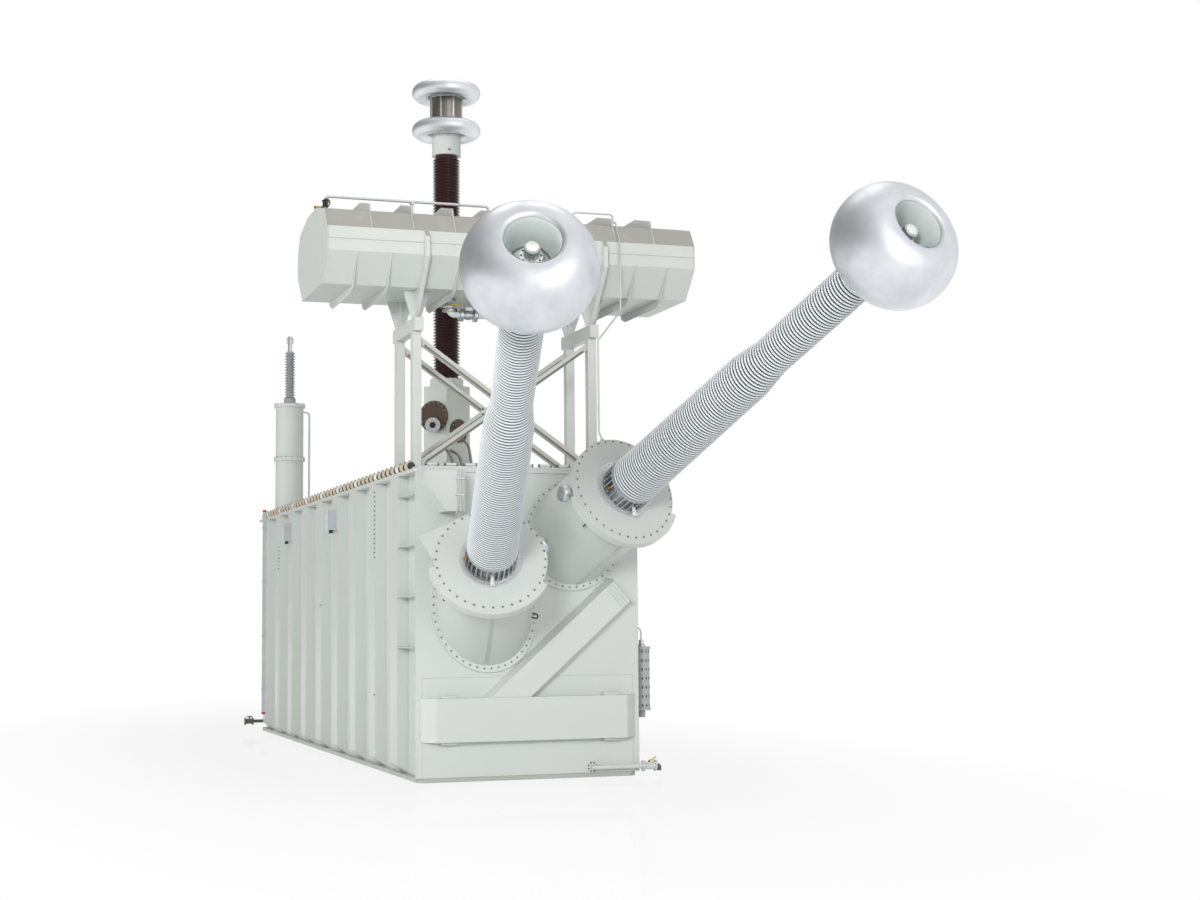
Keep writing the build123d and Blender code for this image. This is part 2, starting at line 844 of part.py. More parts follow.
# Conservator: a flattened many-sided vessel across the tank, wall and ends as pieces of their own
conservator_outline = [
    (conservator_bottom_half, 0),
    (conservator_depth / 2, conservator_side_low),
    (conservator_depth / 2, conservator_side_high),
    (conservator_shoulder_half, conservator_shoulder),
    (conservator_top_half, conservator_height),
]
conservator_outline += [(-y, z) for y, z in reversed(conservator_outline)]
shell_length = conservator_length - 2 * conservator_end_thickness
left_end_plane = Plane(
    origin=(-conservator_length / 2, gantry_y, conservator_bottom), x_dir=(0, 1, 0), z_dir=(1, 0, 0)
)
with BuildPart() as conservator_shell:
    with BuildSketch(left_end_plane.offset(conservator_end_thickness)):
        Polygon(*conservator_outline, align=None)
        offset(amount=-conservator_wall, mode=Mode.SUBTRACT, kind=Kind.INTERSECTION)
    extrude(amount=shell_length)
save(conservator_shell, "conservator_shell")

for name, start in (("left", 0), ("right", conservator_length - conservator_end_thickness)):
    with BuildPart() as conservator_end:
        with BuildSketch(left_end_plane.offset(start)):
            Polygon(*conservator_outline, align=None)
        extrude(amount=conservator_end_thickness)
    save(conservator_end, f"conservator_{name}_end")

# Saddles: tapered plates on the gantry beams, each with a web that runs up the conservator's side as a strap
strap_outline = [
    (-gantry_depth / 2 + saddle_bottom_width / 2, -saddle_height),
    (-gantry_depth / 2 + saddle_bottom_width / 2, 0),
    (-conservator_bottom_half, 0),
    (-conservator_depth / 2, conservator_side_low),
    (-conservator_depth / 2, conservator_side_high),
    (-conservator_depth / 2 - strap_reach, conservator_side_high - strap_reach),
    (-conservator_depth / 2 - strap_reach, conservator_side_low - strap_reach / 2),
    (-gantry_depth / 2 - saddle_bottom_width / 2, -saddle_height),
]
with BuildPart() as conservator_saddles:
    for y in (leg_front_y, leg_back_y):
        for x in (-leg_half_spacing, leg_half_spacing):
            saddle_plane = Plane(
                origin=(x, y, gantry_top + gantry_beam_height), x_dir=(1, 0, 0), z_dir=(0, -1, 0)
            )
            with BuildSketch(saddle_plane):
                with BuildLine():
                    Polyline(
                        (-saddle_bottom_width / 2, 0),
                        (saddle_bottom_width / 2, 0),
                        (saddle_top_width / 2, saddle_height),
                        (-saddle_top_width / 2, saddle_height),
                        close=True,
                    )
                make_face()
            extrude(amount=saddle_thickness / 2, both=True)
    for x in (-leg_half_spacing, leg_half_spacing):
        strap_plane = Plane(origin=(x, gantry_y, conservator_bottom), x_dir=(0, 1, 0), z_dir=(1, 0, 0))
        for sign in (-1, 1):
            with BuildSketch(strap_plane):
                with BuildLine():
                    Polyline(*[(-sign * y, z) for y, z in strap_outline], close=True)
                make_face()
            extrude(amount=strap_thickness / 2, both=True)
save(conservator_saddles, "conservator_saddles")

# Ribs that stiffen the flat walls of the conservator, above and below
upper_rib = [
    (conservator_depth / 2, conservator_side_high),
    (conservator_shoulder_half, conservator_shoulder + rib_height),
    (conservator_top_half, conservator_height + rib_height),
    (-conservator_top_half, conservator_height + rib_height),
    (-conservator_shoulder_half, conservator_shoulder + rib_height),
    (-conservator_depth / 2, conservator_side_high),
    (-conservator_shoulder_half, conservator_shoulder),
    (-conservator_top_half, conservator_height),
    (conservator_top_half, conservator_height),
    (conservator_shoulder_half, conservator_shoulder),
]
lower_rib = [
    (conservator_depth / 2, conservator_side_low),
    (conservator_bottom_half, 0),
    (-conservator_bottom_half, 0),
    (-conservator_depth / 2, conservator_side_low),
    (-conservator_bottom_half - rib_height / 2, -rib_height / 2),
    (-conservator_bottom_half + rib_height, -rib_height),
    (conservator_bottom_half - rib_height, -rib_height),
    (conservator_bottom_half + rib_height / 2, -rib_height / 2),
]
upper_rib_first = -(upper_rib_count - 1) / 2 * upper_rib_pitch
upper_rib_xs = [upper_rib_first + i * upper_rib_pitch for i in range(upper_rib_count)]
lower_rib_xs = [side * leg_half_spacing + i * lower_rib_pitch for side in (-1, 1) for i in (-2, -1, 1, 2)]
with BuildPart() as conservator_ribs:
    for outline, xs in ((upper_rib, upper_rib_xs), (lower_rib, lower_rib_xs)):
        for x in xs:
            rib_plane = Plane(origin=(x, gantry_y, conservator_bottom), x_dir=(0, 1, 0), z_dir=(1, 0, 0))
            with BuildSketch(rib_plane):
                with BuildLine():
                    Polyline(*outline, close=True)
                make_face()
            extrude(amount=rib_thickness / 2, both=True)
save(conservator_ribs, "conservator_ribs")

# Clamps that press the cover on the flange, along both long edges
clamp_run = flange_rear - flange_front - 2 * clamp_end_margin
clamp_count = int(clamp_run // clamp_pitch)
clamp_x = flange_width / 2 - cover_inset / 2
clamp_pad_x = flange_width / 2 - (cover_inset + clamp_reach) / 2
with BuildPart() as cover_clamps:
    with BuildSketch(Plane.XY.offset(cover_bottom)):
        with Locations((0, (flange_front + flange_rear) / 2)):
            with GridLocations(2 * clamp_x, clamp_pitch, 2, clamp_count):
                Rectangle(cover_inset, clamp_width)
    extrude(amount=cover_thickness)
    with BuildSketch(Plane.XY.offset(cover_top)):
        with Locations((0, (flange_front + flange_rear) / 2)):
            with GridLocations(2 * clamp_pad_x, clamp_pitch, 2, clamp_count):
                Rectangle(cover_inset + clamp_reach, clamp_width)
    extrude(amount=clamp_height - cover_thickness)
save(cover_clamps, "cover_clamps")

# Vent pipe along the top of the conservator, on a post near its middle
conservator_top = conservator_bottom + conservator_height
vent_level = conservator_top + vent_pipe_rise
with BuildPart() as vent_pipe:
    with BuildLine() as vent_path:
        FilletPolyline(
            (vent_pipe_left, gantry_y, conservator_top),
            (vent_pipe_left, gantry_y, vent_level),
            (vent_pipe_right, gantry_y, vent_level),
            (vent_pipe_right, gantry_y, conservator_top),
            radius=3 * vent_pipe_radius,
        )
    with BuildSketch(Plane(origin=vent_path.line @ 0, z_dir=vent_path.line % 0)):
        Circle(vent_pipe_radius)
    sweep()
    with BuildSketch(Plane.XY.offset(conservator_top)):
        with Locations((vent_post_offset, gantry_y)):
            Circle(vent_pipe_radius)
    extrude(amount=vent_pipe_rise)
save(vent_pipe, "vent_pipe")

# Thin vent pipe from the eye on the right turret's head up the conservator's front to its top
right_plane = valve_planes["right"]
eye_out = bearing(right_plane, vent_eye_bearing)
eye_base = right_plane.origin + right_plane.z_dir * (turret_length - turret_head_thickness / 2)
eye_tip = eye_base + eye_out * (turret_cover_radius + vent_eye_height)
eye_lead = eye_tip + eye_out * (2 * turret_vent_bend)
rib_side_x = upper_rib_xs[-2] + turret_vent_gap
shoulder_y = gantry_y - conservator_shoulder_half - turret_vent_gap
strap_y = gantry_y - conservator_depth / 2 - turret_vent_gap
with BuildPart() as turret_vent:
    with BuildLine() as turret_vent_path:
        FilletPolyline(
            eye_tip,
            eye_lead,
            (eye_lead.X, eye_lead.Y, turret_vent_knee),
            (rib_side_x, strap_y, turret_vent_drop),
            (rib_side_x, strap_y, conservator_bottom + conservator_side_high),
            (rib_side_x, shoulder_y, conservator_bottom + conservator_shoulder + turret_vent_gap),
            (turret_vent_right, gantry_y, vent_level - vent_pipe_rise / 2),
            (turret_vent_right, gantry_y, vent_level),
            (turret_vent_left, gantry_y, vent_level),
            (turret_vent_left, gantry_y, conservator_top),
            radius=turret_vent_bend,
        )
    with BuildSketch(Plane(origin=turret_vent_path.line @ 0, z_dir=turret_vent_path.line % 0)):
        Circle(turret_vent_radius)
    sweep()
save(turret_vent, "turret_vent")

# Oil pipe from the conservator's underside down to the tank cover, with the gas relay in its run
oil_level = conservator_bottom - oil_pipe_drop
with BuildPart() as oil_pipe:
    with BuildLine() as oil_path:
        FilletPolyline(
            (oil_pipe_start, gantry_y, conservator_bottom),
            (oil_pipe_start, gantry_y, oil_level),
            (oil_pipe_end, gantry_y, oil_level),
            (oil_pipe_end, gantry_y, cover_top),
            radius=2 * oil_pipe_radius,
        )
    with BuildSketch(Plane(origin=oil_path.line @ 0, z_dir=oil_path.line % 0)):
        Circle(oil_pipe_radius)
    sweep()
    with BuildSketch(Plane.XY.offset(relay_level)):
        with Locations((oil_pipe_end, gantry_y)):
            Circle(relay_radius)
    extrude(amount=relay_length)
save(oil_pipe, "oil_pipe")

# Breather on the right wall
breather_x = side_x + stiffener_depth + breather_gap
breather_y = front_y + breather_setback
with BuildPart() as breather:
    with BuildSketch(Plane.XY.offset(breather_bottom)):
        with Locations((breather_x, breather_y)):
            Circle(breather_radius)
    extrude(amount=breather_height)
    for level in (breather_bottom, breather_bottom + breather_height - breather_cap_height):
        with BuildSketch(Plane.XY.offset(level)):
            with Locations((breather_x, breather_y)):
                Circle(breather_cap_radius)
        extrude(amount=breather_cap_height)
    with BuildSketch(Plane.XY.offset(breather_bottom - breather_outlet_length)):
        with Locations((breather_x, breather_y)):
            Circle(breather_outlet_radius)
    extrude(amount=breather_outlet_length)
    bracket_levels = (
        breather_bottom + 2 * breather_bracket,
        breather_bottom + breather_height - 3 * breather_bracket,
    )
    for level in bracket_levels:
        with BuildSketch(Plane.XY.offset(level)):
            with Locations(((side_x + breather_x) / 2, breather_y)):
                Rectangle(breather_x - side_x, breather_bracket)
        extrude(amount=breather_bracket)
save(breather, "breather")

# Drain pipe along the foot of the front plate, with its valve past the right corner
drain_y = front_y - drain_standoff
with BuildPart() as front_drain:
    with BuildLine() as drain_path:
        FilletPolyline(
            (drain_start, front_y, drain_height),
            (drain_start, drain_y, drain_height),
            (base_width / 2 + drain_reach, drain_y, drain_height),
            radius=1.5 * drain_radius,
        )
    with BuildSketch(Plane(origin=drain_path.line @ 0, z_dir=drain_path.line % 0)):
        Circle(drain_radius)
    sweep()
    with BuildSketch(front_plane):
        with Locations((drain_start, drain_height)):
            Circle(drain_flange_radius)
    extrude(amount=drain_flange_thickness)
    valve_plane = Plane(origin=drain_path.line @ 1, z_dir=drain_path.line % 1)
    with BuildSketch(valve_plane.offset(-drain_flange_thickness)):
        Circle(drain_flange_radius)
    extrude(amount=drain_flange_thickness)
    with BuildSketch(valve_plane):
        Circle(drain_valve_radius)
    extrude(amount=drain_valve_length)
    with BuildSketch(valve_plane.offset(drain_valve_length)):
        Circle(drain_flange_radius)
    extrude(amount=drain_flange_thickness)
    with BuildSketch(front_plane):
        with Locations((0, base_thickness + doubler_height / 2)):
            Rectangle(front_plate_width - 2 * doubler_inset, doubler_height)
    extrude(amount=doubler_thickness, mode=Mode.SUBTRACT)
save(front_drain, "front_drain")

# Drain valve at the rear left corner
rear_drain_y = rear_y - rear_drain_inset
rear_drain_plane = Plane(origin=(-side_x, rear_drain_y, drain_height + base_thickness), z_dir=(-1, 0, 0))
rear_drain_length = stiffener_depth + rear_drain_reach
rear_drain_end = rear_drain_length + drain_valve_length - drain_flange_thickness
with BuildPart() as rear_drain:
    with BuildSketch(rear_drain_plane):
        Circle(drain_radius)
    extrude(amount=rear_drain_length)
    for start in (rear_drain_length - drain_flange_thickness, rear_drain_end):
        with BuildSketch(rear_drain_plane.offset(start)):
            Circle(drain_flange_radius)
        extrude(amount=drain_flange_thickness)
    with BuildSketch(rear_drain_plane.offset(rear_drain_length)):
        Circle(drain_valve_radius)
    extrude(amount=drain_valve_length)
save(rear_drain, "rear_drain")

# Cable duct and junction boxes on the outer faces of the left stiffeners
with BuildPart() as cable_duct:
    with BuildSketch(Plane.XY.offset(duct_bottom)):
        with Locations((-stiffener_x - duct_depth / 2, stiffener_ys[-1])):
            Rectangle(duct_depth, duct_width)
    extrude(amount=duct_top - duct_bottom)
save(cable_duct, "cable_duct")

with BuildPart() as junction_boxes:
    for i in (stiffener_count // 3, 2 * stiffener_count // 3):
        with BuildSketch(Plane.XY.offset(junction_box_level)):
            with Locations((-stiffener_x - junction_box_depth / 2, stiffener_ys[i])):
                Rectangle(junction_box_depth, junction_box_width)
        extrude(amount=junction_box_height)
save(junction_boxes, "junction_boxes")
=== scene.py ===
import json
import math

import bmesh
import bpy
from mathutils import Matrix, Vector


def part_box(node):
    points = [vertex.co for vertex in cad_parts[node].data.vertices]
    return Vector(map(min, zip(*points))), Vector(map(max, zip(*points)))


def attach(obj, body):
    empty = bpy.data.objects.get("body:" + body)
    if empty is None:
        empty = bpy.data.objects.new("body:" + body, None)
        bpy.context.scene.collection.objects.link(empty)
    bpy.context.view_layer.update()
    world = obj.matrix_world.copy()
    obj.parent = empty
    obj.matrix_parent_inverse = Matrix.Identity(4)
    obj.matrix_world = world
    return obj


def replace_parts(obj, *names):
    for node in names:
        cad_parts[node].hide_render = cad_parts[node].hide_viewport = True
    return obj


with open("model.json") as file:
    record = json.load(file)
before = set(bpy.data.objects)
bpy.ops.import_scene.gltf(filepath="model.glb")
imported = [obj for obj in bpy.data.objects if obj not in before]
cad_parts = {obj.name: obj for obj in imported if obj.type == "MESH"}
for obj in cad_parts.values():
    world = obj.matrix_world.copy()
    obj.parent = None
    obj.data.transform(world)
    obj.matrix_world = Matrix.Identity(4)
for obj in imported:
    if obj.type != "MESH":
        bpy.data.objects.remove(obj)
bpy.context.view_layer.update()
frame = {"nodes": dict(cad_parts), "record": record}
nodes = frame["nodes"]
scene = bpy.context.scene
rightward, leftward, rearward, frontward, upward = (1, 0, 0), (-1, 0, 0), (0, 1, 0), (0, -1, 0), (0, 0, 1)
print("frame loaded:", len(nodes), "nodes")


# camera
cameraSet = {
    "place": (-7.503, -31.807, 2.186),  # metres, in the part's frame
    "turn": 18.9,  # degrees to the right of +Y
    "pitch": 5.108,  # degrees upward
    "roll": -0.51,
    "focalPixels": 1884,  # at an image width of 1200
    "imageWidth": 1200,
    "sensor": 36,
    "clipEnd": 300,
}


def aimCamera(look):
    turn, pitch, roll = (math.radians(look[key]) for key in ("turn", "pitch", "roll"))
    ahead = Vector((math.sin(turn) * math.cos(pitch), math.cos(turn) * math.cos(pitch), math.sin(pitch)))
    level = Vector((math.cos(turn), -math.sin(turn), 0))
    upright = level.cross(ahead)
    right = level * math.cos(roll) + upright * math.sin(roll)
    up = upright * math.cos(roll) - level * math.sin(roll)
    data = bpy.data.cameras.new("photoCamera")
    data.sensor_width = look["sensor"]
    data.lens = look["focalPixels"] / look["imageWidth"] * look["sensor"]
    data.clip_end = look["clipEnd"]
    camera = bpy.data.objects.new("photoCamera", data)
    scene.collection.objects.link(camera)
    place = Matrix((right, up, -ahead)).transposed().to_4x4()
    place.translation = look["place"]
    camera.matrix_world = place
    scene.camera = camera


aimCamera(cameraSet)


# shader node helpers
def feed(tree, node, values):  # a value is a number, a colour, a vector or another node's output
    for key, value in values.items():
        if isinstance(value, bpy.types.NodeSocket):
            tree.links.new(value, node.inputs[key])
        else:
            node.inputs[key].default_value = value


def addNode(tree, kind, values=None, **settings):
    node = tree.nodes.new("ShaderNode" + kind)
    for key, value in settings.items():
        setattr(node, key, value)
    feed(tree, node, values or {})
    return node


def addMath(tree, operation, *values):
    return addNode(tree, "Math", dict(enumerate(values)), operation=operation).outputs[0]


def addVectorMath(tree, operation, *values):
    return addNode(tree, "VectorMath", dict(enumerate(values)), operation=operation).outputs


def addRange(tree, value, source=(0, 1), target=(0, 1)):  # one span of values laid on another
    spans = dict(zip(("From Min", "From Max", "To Min", "To Max"), (*source, *target)))
    return addNode(tree, "MapRange", {"Value": value, **spans}).outputs[0]


def addNoise(tree, values, **settings):
    return addNode(tree, "TexNoise", values, **settings).outputs["Fac"]


def addMix(tree, share, below, above):
    return addNode(tree, "Mix", {0: share, 6: below, 7: above}, data_type="RGBA").outputs[2]


def raysSeen(tree, *kinds):  # 1 for these kinds of ray, 0 for others
    path = addNode(tree, "LightPath").outputs
    seen = path[kinds[0]]
    for kind in kinds[1:]:
        seen = addMath(tree, "MAXIMUM", seen, path[kind])
    return seen


# studio: white surround, glossy pale floor, soft lamps
studio = {
    "floorSize": 400,
    "floorDrop": 0.004,  # keeps the floor clear of the base's underside
    "floorColor": (0.93, 0.935, 0.94, 1),
    "floorGlow": 0.8,  # how much of the floor is plain white to the camera and in metal
    "floorRoughness": 0.06,
    "glossyWhite": (0.03, 0.85),  # how much of the white surround shows in metal, on its dim and bright side
    "glossySide": (0.8, -0.6, 0),  # toward the bright side
    "glossySpan": (-0.75, 0.45),  # how far round that share grows
    "fadeStart": 3.5,  # metres from the part's long axis where the floor turns plain white
    "fadeEnd": 8,
    "fadeShape": (1, 0.35, 1),  # the pale patch is longer than wide, as the part is
    "walls": [  # how light the unseen room is, from straight down to straight up
        (0.0, 0.86),
        (0.42, 0.74),
        (0.53, 0.36),
        (0.72, 0.3),
        (1.0, 0.55),
    ],
    "wallTint": (1, 0.99, 0.98),
    "lamps": [  # name, place, target, size, power, shown in metal
        ("keyLamp", (-15, -36, 9), (0, -6, 4), 7, 4500, False),
        ("frontLamp", (6, -40, 12), (0, -6, 4), 24, 2300, True),
        ("sideLamp", (-36, -6, 9), (0, -2, 3), 20, 4300, False),
        ("topLamp", (2, 2, 30), (0, 0, 4), 20, 1100, True),
        ("rearLamp", (14, 34, 20), (0, 2, 4), 22, 2600, False),
    ],
}


def makeWorld(look):
    world = bpy.data.worlds.new("studioWorld")
    scene.world = world
    world.use_nodes = True
    tree = world.node_tree
    tree.nodes.clear()
    coords = addNode(tree, "TexCoord").outputs["Generated"]
    height = addNode(tree, "SeparateXYZ", {0: coords}).outputs["Z"]
    walls = addNode(tree, "ValToRGB", {0: addRange(tree, height, (-1, 1))})
    stops = walls.color_ramp.elements
    while len(stops) < len(look["walls"]):
        stops.new(0.5)
    for stop, (share, level) in zip(stops, look["walls"]):
        stop.position = share
        stop.color = (*(level * part for part in look["wallTint"]), 1)
    room = addNode(tree, "Background", {"Color": walls.outputs[0]})
    white = addNode(tree, "Background", {"Color": (1, 1, 1, 1)})
    side = addVectorMath(tree, "DOT_PRODUCT", coords, look["glossySide"])["Value"]
    across = addRange(tree, side, look["glossySpan"], look["glossyWhite"])
    plain = raysSeen(tree, "Is Camera Ray", "Is Transmission Ray")
    seen = addMath(tree, "MULTIPLY_ADD", raysSeen(tree, "Is Glossy Ray"), across, plain)
    mix = addNode(tree, "MixShader", {0: seen, 1: room.outputs[0], 2: white.outputs[0]})
    addNode(tree, "OutputWorld", {0: mix.outputs[0]})


def makeLamps(look):
    for name, place, target, size, power, inMetal in look["lamps"]:
        data = bpy.data.lights.new(name, "AREA")
        data.shape = "DISK"
        data.size = size
        data.energy = power
        lamp = bpy.data.objects.new(name, data)
        scene.collection.objects.link(lamp)
        lamp.location = place
        lamp.visible_glossy = inMetal
        lamp.rotation_euler = (Vector(target) - Vector(place)).to_track_quat("-Z", "Y").to_euler()


def makeFloor(look):
    half = look["floorSize"] / 2
    corners = [(-half, -half, 0), (half, -half, 0), (half, half, 0), (-half, half, 0)]
    mesh = bpy.data.meshes.new("studioFloor")
    mesh.from_pydata(corners, [], [(0, 1, 2, 3)])
    floor = bpy.data.objects.new("studioFloor", mesh)
    floor.location.z = -look["floorDrop"]
    scene.collection.objects.link(floor)
    material = bpy.data.materials.new("studioFloorPaper")
    material.use_nodes = True
    tree = material.node_tree
    shader = tree.nodes["Principled BSDF"]
    feed(tree, shader, {"Base Color": look["floorColor"], "Roughness": look["floorRoughness"]})
    spot = addNode(tree, "NewGeometry").outputs["Position"]
    reach = addVectorMath(tree, "MULTIPLY", spot, look["fadeShape"])[0]
    away = addVectorMath(tree, "LENGTH", reach)["Value"]
    fade = addRange(tree, away, (look["fadeStart"], look["fadeEnd"]), (look["floorGlow"], 1))
    seen = raysSeen(tree, "Is Camera Ray", "Is Glossy Ray", "Is Transmission Ray")
    share = addMath(tree, "MULTIPLY", seen, fade)
    glow = addNode(tree, "Emission")
    blend = addNode(tree, "MixShader", {0: share, 1: shader.outputs[0], 2: glow.outputs[0]})
    feed(tree, tree.nodes["Material Output"], {"Surface": blend.outputs[0]})
    mesh.materials.append(material)


makeWorld(studio)
makeLamps(studio)
makeFloor(studio)
scene.view_settings.view_transform = "Standard"
print("studio ready")


# shader effects shared by the materials
def tint(red, green, blue):  # a screen colour as Blender's linear one
    shares = (value / 255 for value in (red, green, blue))
    return tuple(((s + 0.055) / 1.055) ** 2.4 if s > 0.04 else s / 12.92 for s in shares) + (1,)


def startGroup(name, inputs, outputs):  # inputs with their defaults, outputs with their kinds
    group = bpy.data.node_groups.new(name, "ShaderNodeTree")
    for label, value in inputs.items():
        kind = {3: "Vector", 4: "Color"}[len(value)] if isinstance(value, tuple) else "Float"
        socket = group.interface.new_socket(name=label, in_out="INPUT", socket_type="NodeSocket" + kind)
        socket.default_value = value
    for label, kind in outputs.items():
        group.interface.new_socket(name=label, in_out="OUTPUT", socket_type="NodeSocket" + kind)
    return group, group.nodes.new("NodeGroupInput").outputs, group.nodes.new("NodeGroupOutput")


def makeSurfaceTone():  # slow drift between two near colours, stretched down the wall
    colors = {"Base": (1, 1, 1, 1), "Shade": (0.5, 0.5, 0.5, 1)}
    inputs = {**colors, "Amount": 0.5, "Scale": 1.5, "Stretch": (1, 1, 1)}
    group, given, sink = startGroup("surfaceTone", inputs, {"Color": "Color", "Mask": "Float"})
    coords = addNode(group, "TexCoord").outputs["Object"]
    spot = addVectorMath(group, "MULTIPLY", coords, given["Stretch"])[0]
    noise = addNoise(group, {"Vector": spot, "Scale": given["Scale"], "Detail": 2, "Roughness": 0.45})
    spread = addRange(group, noise, (0.25, 0.75))
    share = addMath(group, "MULTIPLY", spread, given["Amount"])
    feed(group, sink, {"Color": addMix(group, share, given["Base"], given["Shade"]), "Mask": spread})
    return group


def makeDustAndTopShade():  # dust on faces that look up, and a soiled band near the ground; set high on the conservator, the up-facing part is painted shade on its upper faces
    group, given, sink = startGroup("dustAndTopShade", {"Amount": 0.4, "Scale": 3.0}, {"Mask": "Float"})
    surface = addNode(group, "NewGeometry").outputs
    up = addNode(group, "SeparateXYZ", {0: surface["Normal"]}).outputs["Z"]
    height = addNode(group, "SeparateXYZ", {0: surface["Position"]}).outputs["Z"]
    facing = addRange(group, up, (0.47, 0.56))
    band = addRange(group, height, (0, 0.9), (0.15, 0))
    most = addMath(group, "MAXIMUM", facing, band)
    values = {"Vector": surface["Position"], "Scale": given["Scale"], "Detail": 2, "Roughness": 0.5}
    spread = addRange(group, addNoise(group, values), (-0.3, 0.4))
    share = addMath(group, "MULTIPLY", most, spread)
    feed(group, sink, {"Mask": addMath(group, "MULTIPLY", share, given["Amount"])})
    return group


def makeSoftEdge():  # rounded look on sharp edges, with a mask where the edge is
    group, given, sink = startGroup("softEdge", {"Radius": 0.012}, {"Normal": "Vector", "Mask": "Float"})
    bevel = addNode(group, "Bevel", {"Radius": given["Radius"]}, samples=4).outputs[0]
    normal = addNode(group, "NewGeometry").outputs["Normal"]
    turned = addVectorMath(group, "DOT_PRODUCT", bevel, normal)["Value"]
    feed(group, sink, {"Normal": bevel, "Mask": addRange(group, turned, (0.995, 0.8))})
    return group


def makeFineGrain():  # small uneven height for paint, castings and glaze
    group, given, sink = startGroup("fineGrain", {"Scale": 60.0, "Detail": 3.0}, {"Height": "Float"})
    coords = addNode(group, "TexCoord").outputs["Object"]
    values = {"Vector": coords, "Scale": given["Scale"], "Detail": given["Detail"], "Roughness": 0.6}
    feed(group, sink, {"Height": addNoise(group, values)})
    return group


def makeSpunGrain():  # turned rings along an axis, and the patches left by polishing
    outputs = {"Height": "Float", "Patch": "Float"}
    group, given, sink = startGroup("spunGrain", {"Axis": (0, 0, 1), "Scale": 40.0}, outputs)
    coords = addNode(group, "TexCoord").outputs["Object"]
    along = addVectorMath(group, "DOT_PRODUCT", coords, given["Axis"])["Value"]
    rings = addNoise(group, {"W": along, "Scale": given["Scale"], "Detail": 3}, noise_dimensions="1D")
    patch = addNoise(group, {"Vector": coords, "Scale": 2.6, "Detail": 5, "Roughness": 0.55})
    feed(group, sink, {"Height": rings, "Patch": addRange(group, patch, (0.36, 0.66))})
    return group


def makeSpangle():  # crystal patches of a zinc coat
    group, given, sink = startGroup("spangle", {"Scale": 30.0}, {"Value": "Float"})
    coords = addNode(group, "TexCoord").outputs["Object"]
    cells = addNode(group, "TexVoronoi", {"Vector": coords, "Scale": given["Scale"]})
    grey = addNode(group, "SeparateColor", {0: cells.outputs["Color"]})
    feed(group, sink, {"Value": grey.outputs["Red"]})
    return group


def makeGrooveShade():  # painted shade in the deep part of the sheds' grooves
    group, given, sink = startGroup("grooveShadeMask", {"Amount": 1.0}, {"Mask": "Float"})
    depth = addNode(group, "Attribute", attribute_name="grooveDepth").outputs["Fac"]
    deep = addRange(group, depth, (0.05, 0.24))
    feed(group, sink, {"Mask": addMath(group, "MULTIPLY", deep, given["Amount"])})
    return group


effects = {
    "tone": makeSurfaceTone(),
    "dustAndShade": makeDustAndTopShade(),
    "edge": makeSoftEdge(),
    "grain": makeFineGrain(),
    "spun": makeSpunGrain(),
    "spangle": makeSpangle(),
    "grooveShade": makeGrooveShade(),
}
print("shader effects ready")


# materials
def startMaterial(name, metallic, look):
    material = bpy.data.materials.new(name)
    material.use_nodes = True
    tree = material.node_tree
    shader = tree.nodes["Principled BSDF"]
    feed(tree, shader, {"Metallic": metallic, "Roughness": look["roughness"][0]})
    return material, tree, shader


def useEffect(tree, key, values):
    return addNode(tree, "Group", values, node_tree=effects[key]).outputs


def addTone(tree, look, scale, stretch=(1, 1, 1)):
    colors = {"Base": tint(*look["base"]), "Shade": tint(*look["shade"])}
    return useEffect(tree, "tone", {**colors, "Amount": look["drift"], "Scale": scale, "Stretch": stretch})


def setSurface(tree, shader, look, color, mask):
    feed(tree, shader, {"Base Color": color, "Roughness": addRange(tree, mask, (0, 1), look["roughness"])})


def addBump(tree, shader, look, inputs):
    values = {"Strength": look["bump"], "Distance": look["bumpDepth"], **inputs}
    feed(tree, shader, {"Normal": addNode(tree, "Bump", values).outputs[0]})


def coatedMaterial(name, look):  # paint, porcelain, plastic and rubber
    material, tree, shader = startMaterial(name, 0, look)
    tone = addTone(tree, look, look["scale"], look["stretch"])
    # dust, and painted shade on the conservator's upper faces
    dustAndShade = useEffect(tree, "dustAndShade", {"Amount": look["dustAndShade"]})["Mask"]
    color = addMix(tree, dustAndShade, tone["Color"], tint(*look["dustAndShadeColor"]))
    # a paler colour on the edges, partly wear and partly a painted highlight where edges catch the light
    edge = useEffect(tree, "edge", {"Radius": look["edge"]})
    rubAndHighlight = addMath(tree, "MULTIPLY", edge["Mask"], look["rubAndHighlight"])
    color = addMix(tree, rubAndHighlight, color, tint(*look["rubAndHighlightColor"]))
    # painted shade in the bottoms of the sheds' grooves
    if look["grooveShade"]:
        grooveShade = useEffect(tree, "grooveShade", {"Amount": look["grooveShade"]})["Mask"]
        color = addMix(tree, grooveShade, color, tint(*look["grooveShadeColor"]))
    setSurface(tree, shader, look, color, tone["Mask"])
    grain = useEffect(tree, "grain", {"Scale": look["grain"]})["Height"]
    addBump(tree, shader, look, {"Height": grain, "Normal": edge["Normal"]})
    return material


def metalMaterial(name, look):  # castings, bolts and fittings
    material, tree, shader = startMaterial(name, 1, look)
    tone = addTone(tree, look, look["scale"])
    setSurface(tree, shader, look, tone["Color"], tone["Mask"])
    grain = useEffect(tree, "grain", {"Scale": look["grain"]})["Height"]
    edge = useEffect(tree, "edge", {"Radius": look["edge"]})
    addBump(tree, shader, look, {"Height": grain, "Normal": edge["Normal"]})
    return material


def spunMaterial(name, look, axis):
    material, tree, shader = startMaterial(name, 1, look)
    spun = useEffect(tree, "spun", {"Axis": axis, "Scale": look["rings"]})
    tone = addTone(tree, look, look["scale"])
    patches = addMath(tree, "MULTIPLY", spun["Patch"], look["patch"])
    color = addMix(tree, patches, tone["Color"], tint(*look["patchColor"]))
    setSurface(tree, shader, look, color, spun["Patch"])
    addBump(tree, shader, look, {"Height": spun["Height"]})
    return material


